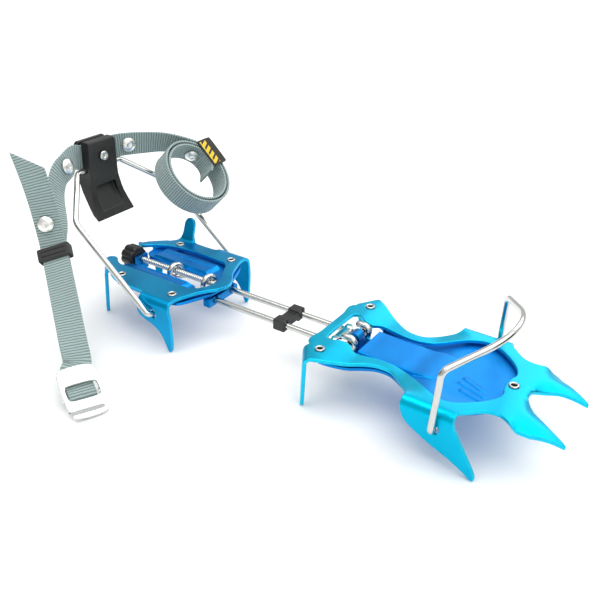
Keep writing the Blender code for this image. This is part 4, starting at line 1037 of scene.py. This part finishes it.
def heel_half(tab):
    front = [(-82.6, 2.5), (-84.5, 7.0), (-89.0, 13.0), (-92.4, 18.5), (-95.4, 26.5), (-98.0, 34.0), (-97.9, 37.6)]
    flange = [heel_flange(*p) for p in ((-96.9, -6.0), (-96.0, -14.0), (-96.4, -30.0), (-97.4, -35.4), (-98.8, -36.5),
                                        (-100.4, -35.2), (-104.4, -25.0), (-109.0, -20.6), (-114.5, -18.4),
                                        (-121.0, -16.4), (-124.3, -12.6), (-124.2, -8.0), (-122.6, -5.0))]
    side = [(-122.4, 38.6), (-124.4, 37.2)]
    if tab:
        side += [(-140.5, 37.4), (-143.4, 38.4), (-145.2, 41.5), (-145.4, 46.0), (-145.4, 50.5), (-147.0, 53.6),
                 (-150.0, 54.8), (-153.0, 53.6), (-154.6, 50.5), (-154.6, 46.0), (-154.9, 41.5), (-156.6, 38.0),
                 (-158.0, 33.8)]
    else:
        side += [(-134.0, 37.6), (-144.0, 37.4), (-152.0, 35.4), (-158.0, 32.6)]
    spike = [on_rear(*p) for p in ((0, 0), (1.6, 5), (4.4, 18), (6.2, 30), (7.0, 35.4), (8.1, 37.4), (9.3, 36.6),
                                   (10.4, 32.0), (11.8, 16.0), (12.0, 4.0), (11.8, 0))]
    lobe = [(-174.2, 21.6), (-177.0, 19.8), (-178.0, 17.0), (-177.0, 13.6), (-174.0, 11.8), (-170.6, 12.6)]
    return front + flange + side + spike + lobe


HEEL_RIM_LEFT = [(-168.4, 15.2), (-164.1, 19.1), (-155.2, 23.4), (-145.3, 25.2), (-133.4, 26.4), (-119.6, 26.0),
                 (-106.5, 25.2), (-102.8, 23.0), (-100.2, 18.0), (-96.0, 10.5), (-91.8, 4.6)]
HEEL_RIM_RIGHT = [(-91.8, -4.6), (-94.5, -12.0), (-98.0, -16.6), (-103.5, -17.8), (-121.0, -17.4), (-141.0, -17.8),
                  (-155.7, -18.0), (-162.6, -18.6), (-168.4, -15.2)]
HEEL_RIVETS = (("rear", -150.0, 29.4), ("front", -104.2, 30.6))
SLOT_HALF = 6.8
PADS = ((8.2, 22.0), (-16.0, -8.2))
PAD_RISE = 1.9


def heel_shape(x, y, h):
    side = 1 if y >= 0 else -1
    place = Vector((x, abs(y), h))
    if -126 < x < -94 and place.y > HEEL_BEND_Y:
        place = folded(place, (x, HEEL_BEND_Y), (0, 1), HEEL_BEND_ANGLE, HEEL_BEND_RADIUS)
    elif -159 < x < -141 and side > 0 and place.y > TAB_Y:
        place = folded(Vector((x, place.y, -h)), (x, TAB_Y), (0, 1), TAB_ANGLE, TAB_RADIUS)
        share = smooth_step(abs(x + 150), 5.2, 8.5)
        place = Vector((place.x, place.y, -place.z)).lerp(Vector((x, abs(y), h)), share)
    elif x < -157 and place.y > 12:
        place = folded(place, REAR_START, REAR_OUT, math.radians(87), REAR_RADIUS)
    place.z -= SHEET / 2
    place.y *= side
    return place


def heel_plate():
    rows = []
    for side in (-1, 1):
        for k in range(7):
            out = REAR_RADIUS * math.radians(87) * k / 6
            first, last = on_rear(0.8, out), on_rear(11.2, out)
            rows.append(row((first[0], side * first[1]), (last[0], side * last[1])))
        for k in range(8):
            y = side * (HEEL_BEND_Y + HEEL_BEND_RADIUS * HEEL_BEND_ANGLE * k / 7)
            rows.append(row((-123.0, y), (-97.6, y)))
    for k in range(8):
        y = TAB_Y + TAB_RADIUS * TAB_ANGLE * k / 7
        rows.append(row((-157.0, y), (-143.0, y), 1.1))
    pivot = heel_flange(*HEEL_PIVOT)
    holes = [ring_of((pivot[0], side * pivot[1]), PIVOT_HOLE_RADIUS) for side in (-1, 1)]
    holes += [ring_of((x, side * y), RIVET_HOLE_RADIUS) for _, x, y in HEEL_RIVETS for side in (-1, 1)]
    outline = heel_half(True) + HEEL_RIM_LEFT + HEEL_RIM_RIGHT + [(x, -y) for x, y in reversed(heel_half(False))]
    place_piece(sheet("heel_plate_formed", outline, holes, SHEET, heel_shape, 2.6, 0.55, rows), "heel",
                LOOK["heel_blue"], "heel_plate")


def heel_insert_shape(x, y, h):
    rise = 0.0
    for low, high in PADS:
        across = smooth_step(y, low - 0.2, low + 1.0) * (1 - smooth_step(y, high - 1.0, high + 0.2))
        groove = 0.55 * (1 - smooth_step(abs(y - (low + high) / 2 - 1.5), 0.5, 1.3))
        rise = max(rise, PAD_RISE * across - groove * across)
    rise *= smooth_step(x, -158, -155) * (1 - smooth_step(x, -109, -106))
    return Vector((x, y, INSERT_MID + h + rise))


def heel_insert():
    rear = -165.5
    outline = [(-87.4, -9), (-90.6, -18), (-95.4, -30), (-99, -34.4), (-112, -34.8), (-140, -34.4), (-154, -32.6),
               (-162, -26.4), (rear, -20), (rear, -11.0), (-161.5, -9.0), (-160.0, -SLOT_HALF), (-105.0, -SLOT_HALF),
               (-103.0, -10.2), (-97.0, -10.2), (-91.4, -6.0), (-91.4, 6.0), (-94.0, SLOT_HALF), (-160.0, SLOT_HALF),
               (-161.5, 9.0), (rear, 11.0), (rear, 20), (-162, 26.4), (-154, 31.2), (-140, 33.2), (-112, 34.8),
               (-99, 34.4), (-95.4, 30), (-90.6, 18), (-87.4, 9)]
    rows = []
    for low, high in PADS:
        middle = (low + high) / 2 + 1.5
        for y in (low - 0.2, low + 0.2, low + 0.6, low + 1.0, high - 1.0, high - 0.6, high - 0.2, high + 0.2,
                  *(middle + k for k in (-1.3, -0.9, -0.5, 0, 0.5, 0.9, 1.3))):
            rows.append(row((-159, y), (-105, y), 1.2))
    holes = [ring_of((x, side * y), RIVET_HOLE_RADIUS) for _, x, y in HEEL_RIVETS for side in (-1, 1)]
    place_piece(sheet("heel_insert_formed", outline, holes, INSERT_SHEET, heel_insert_shape, 2.6, 0.5, rows), "heel",
                LOOK["insert_blue"], "heel_insert")


def bearing_and_guide():
    made = block("spindle_bearing_folded", (box, ((2.0, 11.0, 11.0), (-160.6, 0, -5.6))))
    join(made, box, (3.0, 22.0, 1.6), (-160.3, 0, INSERT_TOP - INSERT_SHEET - 1.2))
    cut(made, rod, (-166, 0, SPINDLE_Z), (-155, 0, SPINDLE_Z), SPINDLE_RADIUS + GAP)
    bevel(made, 0.3)
    place_shaded(made, "heel", LOOK["bracket_blue"], "spindle_bearing")
    made = block("rod_guide_folded", (box, ((5.8, 30.0, 5.8), (-89.2, 0, -9.2))))
    bevel(made, 0.8)
    for side in (-1, 1):
        cut(made, box, (12, WIRE + 0.8, 8.0), (-89.2, side * ROD_Y, ROD_Z + 4.0))
        cut(made, rod, (-99, side * ROD_Y, ROD_Z), (-79, side * ROD_Y, ROD_Z), WIRE / 2 + 0.4)
    bevel(made, 0.2, 2, 50)
    place_shaded(made, "heel", LOOK["bracket_blue"], "rod_guide")


THREAD_PITCH = 1.6
THREAD_DEPTH = 0.32


def spindle_set():
    def thread(angle, height, radius):
        phase = (height / THREAD_PITCH - angle / (2 * math.pi)) % 1.0
        ridge = max(0.0, 1 - abs(phase - 0.5) * 2.6)
        cut = smooth_step(height, 3.0, 5.0) * (1 - smooth_step(height, 65.6, 66.4))
        return -THREAD_DEPTH * (1 - min(1.0, ridge * 1.25)) * cut if radius > SPINDLE_RADIUS - 0.05 else 0.0

    profile = [(0, 0), (1.6, 0), (SPINDLE_RADIUS, 0.4)]
    profile += [(SPINDLE_RADIUS, 0.6 + 65.8 * k / 420) for k in range(421)] + [(1.7, 66.8), (0, 67.0)]
    place_piece(turned("spindle_threaded", profile, (-162.0, 0, SPINDLE_Z), (1, 0, 0), 36, thread), "spindle",
                LOOK["steel"], "spindle")
    profile = [(0, 0), (2.5, 0), (2.8, 0.3), (2.8, 1.3), (2.5, 1.6), (0, 1.6)]
    place_piece(turned("spindle_stop_turned", arced(profile, 3, 0.3), (-94.7, 0, SPINDLE_Z), (1, 0, 0), 40),
                "spindle", LOOK["steel"], "spindle_stop")

    def grips(angle, height, radius):
        wave = abs(math.sin(angle * 4 + math.pi / 4))
        return -1.1 * (1 - wave ** 0.5) * smooth_step(radius, 5.0, 7.4) * smooth_step(12.6 - height, 1.0, 2.6)

    profile = [(0, 0), (4.6, 0), (5.4, 0.3), (6.6, 0.6), (7.8, 1.2), (8.2, 2.2), (8.2, 9.6), (7.8, 10.8), (6.6, 11.4),
               (4.6, 11.6), (4.2, 12.0), (0, 12.0)]
    place_piece(turned("spindle_knob_moulded", arced(profile, 4), (-174.3, 0, SPINDLE_Z), (1, 0, 0), 128, grips),
                "spindle", LOOK["black_plastic"], "spindle_knob")


# ---------------------------------------------------------------- bails

def bails():
    x, z = TOE_PIVOT
    half = rounded([(x, -41.3, z), (x, -48.7, z), (87.8, -46.2, 25.7), (118.2, 0, 39.7), (87.8, 46.2, 25.7)],
                   (3.2, 5.3, 46.0), 24)
    middle = next(k for k, p in enumerate(half) if p.y > -1e-6)
    half = half[:middle] + [Vector((half[middle].x, 0, half[middle].z))]
    place_piece(wire("front_bail_bent", mirrored(half), FRONT_WIRE), "front_bail", LOOK["bail_steel"], "front_bail")
    x, z = HEEL_PIVOT
    bar_x, bar_z = CROSSBAR
    half = rounded([(x, -39.8, z), (x, -46.4, z), (-169.5, -46.2, 37.6), (bar_x, -19.6, bar_z), (bar_x, 0, bar_z)],
                   (3.4, 12.0, 5.0), 20)
    place_piece(wire("heel_bail_bent", mirrored(half), WIRE), "heel_bail", LOOK["bail_steel"], "heel_bail")


# ---------------------------------------------------------------- lever

def lever_loft(name, stations, smooth=30):
    bm = bmesh.new()
    rings = []
    for height, front, rear, half in stations:
        rings.append([bm.verts.new(p) for p in ((front, -half, height), (front, half, height), (rear, half, height),
                                                (rear, -half, height))])
    skin(bm, rings)
    return mesh_object(name, bm, smooth)


STRAP_X = -197.3
STRAP_Z = 67.2


def lever():
    stations = [(25.6, -180.6, -182.0, 17.0), (29.0, -182.6, -186.6, 16.7), (33.0, -184.8, -190.0, 16.0),
                (38.0, -186.9, -194.0, 15.0), (43.0, -188.2, -197.6, 14.2), (48.0, -188.8, -200.2, 13.4),
                (51.0, -188.9, -201.2, 12.8), (54.8, -188.9, -201.0, 12.6), (57.0, -188.8, -195.9, 12.5),
                (76.0, -188.4, -195.9, 12.2), (78.0, -189.4, -195.2, 11.4)]
    made = lever_loft("heel_lever_moulded", stations)
    bevel(made, 0.9, 4, 38)
    pocket = lever_loft("pocket", [(30.0, -178.0, -183.4, 10.6), (41.0, -180.0, -190.6, 9.6),
                                   (47.5, -180.0, -193.4, 8.8)])
    bevel(pocket, 0.8, 3, 50)
    boolean(made, pocket)
    bar_x, bar_z = CROSSBAR
    cut(made, rod, (bar_x, -20, bar_z), (bar_x, 20, bar_z), WIRE / 2 + GAP)
    cut(made, box, (7.4, 40.0, 2 * (WIRE / 2 + GAP)), (bar_x - 3.7, 0, bar_z))
    cut(made, rod, (-205, 0, STRAP_Z), (-180, 0, STRAP_Z), 2.3)
    # A shallow recess round the screw.
    cut(made, rod, (-188.9, 0, STRAP_Z), (-184, 0, STRAP_Z), 4.1)
    bevel(made, 0.22, 2, 48)
    place_shaded(made, "lever", LOOK["black_plastic"], "heel_lever")
    clamp = lever_loft("strap_clamp_moulded", [(62.0, -198.8, -201.4, 12.0), (63.4, -198.5, -202.4, 12.6),
                                               (75.4, -198.5, -202.8, 12.4), (77.4, -198.9, -201.6, 11.6)])
    bevel(clamp, 0.5, 3, 30)
    cut(clamp, rod, (-205, 0, STRAP_Z), (-180, 0, STRAP_Z), 2.3)
    place_shaded(clamp, "lever", LOOK["black_plastic"], "strap_clamp")
    profile = [(0, -15.0), (1.9, -15.0), (1.9, 0.3), (3.3, 0.3), (3.35, 0.7), (2.9, 1.35), (2.2, 1.5), (1.6, 1.3),
               (1.15, 0.6), (0, 0.5)]
    place_piece(turned("lever_screw_turned", arced(profile, 4, 0.3), (-188.3, 0, STRAP_Z), (1, 0, 0), 48), "lever",
                LOOK["rivet_steel"], "lever_screw")


# ---------------------------------------------------------------- straps and buckle

def on_buckle(up, out, across=0.0):
    return BUCKLE + BUCKLE_UP * up + BUCKLE_FACE * out + BUCKLE_ACROSS * across


DOUBLE_FOOT, DOUBLE_HEAD = on_buckle(21.5, -4.4, 4.4), Vector((-169.3, -65.8, 31.0))
HEAD_ACROSS = Vector((0.71, 0.65, 0.28))
DOUBLE = [(DOUBLE_FOOT.lerp(DOUBLE_HEAD, k / 6), BUCKLE_ACROSS.lerp(HEAD_ACROSS, smooth_step(k, 0, 4)))
          for k in range(7)]


def layer(index, side):
    middle, across = DOUBLE[index]
    before, after = DOUBLE[max(index - 1, 0)][0], DOUBLE[min(index + 1, len(DOUBLE) - 1)][0]
    up = (after - before).normalized()
    face = across.cross(up).normalized()
    return middle + face * side * LAYERS / 2, -across


def strap_near():
    route = [((STRAP_X, -3.4, STRAP_Z), (0, 0, 1)), ((STRAP_X, -12.6, STRAP_Z), (0, 0, 1)),
             ((-195.0, -20.9, 69.5), (-0.06, -0.04, 1)), ((-191.2, -30.2, 67.0), (-0.24, -0.13, 0.96)),
             ((-189.7, -37.8, 63.3), (-0.1, -0.42, 0.9)), ((-186.3, -44.5, 57.0), (0, -0.69, 0.73)),
             ((-181.1, -51.1, 49.4), (-0.08, -0.9, 0.44)), ((-175.5, -57.6, 41.3), (-0.35, -0.93, 0.08))]
    route += [layer(index, -1) for index in range(6, -1, -1)]
    bar_up, bar_out = BUCKLE_BAR
    reach = BAR_RADIUS + GAP + WEB / 2
    for up, out in ((14, bar_out - reach + 0.2), (3, bar_out - reach), (bar_up, bar_out - reach),
                    (bar_up - reach * 0.71, bar_out - reach * 0.71), (bar_up - reach, bar_out),
                    (bar_up - reach * 0.71, bar_out + reach * 0.71), (bar_up, bar_out + reach),
                    (3, bar_out + reach), (14, bar_out + reach - 0.2)):
        route.append((on_buckle(up, out), -BUCKLE_ACROSS))
    route += [layer(index, 1) for index in range(7)]
    route += [((-173.6, -64.7, 46.3), (-0.73, -0.66, -0.15)), ((-176.2, -64.9, 60.7), (-0.72, -0.67, -0.18)),
              ((-180.8, -64.9, 75.4), (-0.71, -0.66, -0.25)), ((-186.8, -64.4, 89.2), (-0.69, -0.66, -0.28))]
    made = ribbon("strap_near_woven", [r[0] for r in route], [Vector(r[1]) for r in route],
                  slant=lambda across: (WEB_WIDTH / 2 - across) * 0.91)
    place_piece(made, "lever", LOOK["webbing"], "strap_near")


def coil_place(turn, radius):
    right = (Vector((0, 1, 0)) - COIL_AXIS.y * COIL_AXIS).normalized()
    top = COIL_AXIS.cross(right).normalized()
    if top.z < 0:
        top = -top
    return COIL_CENTRE + radius * (math.cos(turn) * top + math.sin(turn) * right)


def coil_radius(turn):
    """Each turn lies a little inside the one before it, and the end leans in off the turn."""
    lean = max(0.0, turn - math.radians(765)) / math.radians(60)
    return COIL_RADIUS - COIL_STEP * (turn - COIL_START) / (2 * math.pi) - 7.0 * lean ** 2


def strap_far():
    route = [((STRAP_X, 3.4, STRAP_Z), (0, 0, 1)), ((STRAP_X, 12.6, STRAP_Z), (0, 0, 1)),
             ((-197.0, 18.2, 67.4), (0, 0, 1)), ((-193.6, 25.4, 67.6), (0.05, 0, 1)),
             ((-187.0, 36.5, 67.2), (0.2, 0, 1)), ((-178.6, 49.0, 66.0), (0.45, 0.02, 0.9))]
    count = 34
    for step in range(count + 1):
        turn = COIL_START + (COIL_END - COIL_START) * step / count
        route.append((coil_place(turn, coil_radius(turn)), COIL_AXIS))
    made = ribbon("strap_far_woven", [r[0] for r in route], [Vector(r[1]) for r in route])
    place_piece(made, "lever", LOOK["webbing"], "strap_far")


def keeper():
    up = (DOUBLE_HEAD - DOUBLE_FOOT).normalized()
    across = (HEAD_ACROSS - HEAD_ACROSS.dot(up) * up).normalized()
    middle, turn = DOUBLE_FOOT.lerp(DOUBLE_HEAD, 0.91), axes(across, up)
    made = block("strap_keeper_moulded", (box, ((WEB_WIDTH + 4.2, 9.0, LAYERS + WEB + 3.8), middle, turn)))
    bevel(made, 1.1, 4)
    cut(made, box, (WEB_WIDTH + 2.0, 20.0, LAYERS + WEB + 1.9), middle, turn)
    for side in (-1, 1):
        for lift in (-1.6, 1.6):
            groove = middle + up * lift + across.cross(up) * side * (LAYERS + WEB + 3.8) / 2
            cut(made, box, (WEB_WIDTH - 1.0, 0.7, 0.8), groove, turn)
    bevel(made, 0.22, 2, 50)
    place_shaded(made, "keeper", LOOK["black_rubber"], "strap_keeper")


def rectangle(width, height, centre=(0.0, 0.0), corner=1.0):
    """A rectangle with short corner cuts, which softened turns into arcs; (up, across) points."""
    a, b, c = width / 2, height / 2, corner
    points = [(-b, -a + c), (-b, a - c), (-b + c, a), (b - c, a), (b, a - c), (b, -a + c), (b - c, -a), (-b + c, -a)]
    return [(centre[0] + x, centre[1] + y) for x, y in points]


def buckle():
    width, length, _ = BUCKLE_SIZE
    plate = sheet("buckle_plate", rectangle(width, length, corner=4.0),
                  [rectangle(19.2, 10.4, (0, 0), 1.6), rectangle(21.6, 2.0, (-12.6, -2.4), 0.6)], 2.0,
                  lambda x, y, h: on_buckle(x, h, y), 1.8, 0.6, (), 0.9)
    bar_up, bar_out = BUCKLE_BAR
    bar = block("bar", (rod, (on_buckle(bar_up, bar_out, -11.4), on_buckle(bar_up, bar_out, 11.4), BAR_RADIUS)))
    bevel(bar, 0.3, 2)
    turn = axes(BUCKLE_ACROSS, BUCKLE_UP)
    cheeks = []
    for side in (-1, 1):
        cheek = block("cheek", (box, ((1.8, 3.6, -bar_out + BAR_RADIUS),
                                      on_buckle(bar_up, bar_out / 2 - 0.5, side * 10.9), turn)))
        bevel(cheek, 0.5, 3)
        cheeks.append(cheek)
    made = joined("g_hook_buckle_pressed", plate, bar, *cheeks)
    place_shaded(made, "buckle", LOOK["satin_steel"], "g_hook_buckle")


def snap(node, place, out, lift=0.6):
    """A pressed snap cap: a dome with a rolled edge and a dimple on top."""
    profile = [(0, 1.7), (1.0, 1.75), (1.6, 1.98), (2.4, 1.95), (3.4, 1.5), (4.2, 1.05), (4.75, 0.7), (5.0, 0.35),
               (4.85, 0.08), (4.4, 0.0), (0, 0)]
    out = Vector(out).normalized()
    place = Vector(place) + out * (WEB / 2 + lift)
    place_piece(turned(node + "_pressed", arced(profile, 4), place, out, 56), "lever", LOOK["snap_steel"], node)


def snaps():
    snap("snap_lever_right", (-191.2, -30.2, 67.0), (0.935, 0.161, 0.256), 0.9)
    snap("snap_lever_left", (-192.4, 27.4, 67.4), (0.87, -0.49, 0.0))
    snap("snap_tail", (-173.3, -65.6, 43.4), (0.60, -0.75, 0.27), 1.2)
    place = coil_place(math.radians(762), coil_radius(math.radians(762)))
    snap("snap_coil", place, COIL_CENTRE - place, 1.5)


def label_tag():
    thick = 1.2
    along = Vector((0.742, 0.03, -0.671))
    along = (along - along.dot(COIL_AXIS) * COIL_AXIS).normalized()
    across = COIL_AXIS.cross(along)
    lift = WEB_WIDTH / 2 + GAP + thick / 2
    middle = COIL_CENTRE + COIL_AXIS * lift + across * 23.6 - along * 8.2

    def lie(x, y, h):
        return middle + along * x + across * y + COIL_AXIS * h

    made = sheet("label_tag_woven", rectangle(14.5, 22.0, corner=0.9), [], thick, lie, 1.2, 0.35, (), 0.8)
    inverse = Matrix((along, across, COIL_AXIS))
    weave_attribute(made.data, [(*(inverse @ (v.co / MM - middle)).yx, 0.0) for v in made.data.vertices])
    place_piece(made, "lever", LOOK["label"], "label_tag")


# ---------------------------------------------------------------- assembly

make_camera()
make_studio()
LOOK = {
    # The third colour tints each sheet's rims: lighter as a painted edge highlight on the plates and brackets.
    "toe_blue": anodised("toe_anodised", (0.0, 0.50, 0.74), (0.0, 0.42, 0.66), (0.03, 0.64, 0.86)),
    "heel_blue": anodised("heel_anodised", (0.0, 0.36, 0.68), (0.0, 0.29, 0.60), (0.03, 0.52, 0.80)),
    # The insert's edge colour is darker: painted shade along its rims below the plate.
    "insert_blue": anodised("insert_anodised", (0.004, 0.28, 0.78), (0.002, 0.21, 0.66), (0.01, 0.22, 0.58), 0.38),
    "bracket_blue": anodised("bracket_anodised", (0.002, 0.22, 0.58), (0.001, 0.16, 0.46), (0.02, 0.34, 0.66), 0.36),
    "steel": bright_steel("rod_steel", drawn=(0.15, 3, 3)),
    "bail_steel": bright_steel("bail_steel", roughness=0.11),
    "rivet_steel": bright_steel("rivet_steel", roughness=0.2),
    "satin_steel": bright_steel("satin_steel", (0.80, 0.81, 0.79), 0.27, (1, 6, 1), 0.25),
    "snap_steel": bright_steel("snap_steel", (0.84, 0.84, 0.80), 0.3),
    # Near-black painted shade for the inside of the rivet bores.
    "bore": moulded("rivet_bore", (0.02, 0.02, 0.02), 0.6),
    "black_plastic": moulded("black_nylon"),
    "black_rubber": moulded("black_rubber", (0.014, 0.014, 0.014), 0.58, 1900, 0.5),
    "webbing": webbing("webbing_tape"),
    "label": woven_tag("woven_tag"),
}

toe_plate()
toe_insert()
for which, rivet_x, rivet_y in TOE_RIVETS:
    rivet("toe_rivet_" + which, rivet_x, rivet_y, "toe")
hinge()
link()
slider()
heel_plate()
heel_insert()
for which, rivet_x, rivet_y in HEEL_RIVETS:
    rivet("heel_rivet_%s_left" % which, rivet_x, rivet_y, "heel")
    rivet("heel_rivet_%s_right" % which, rivet_x, -rivet_y, "heel")
bearing_and_guide()
spindle_set()
bails()
lever()
strap_near()
strap_far()
keeper()
buckle()
snaps()
label_tag()
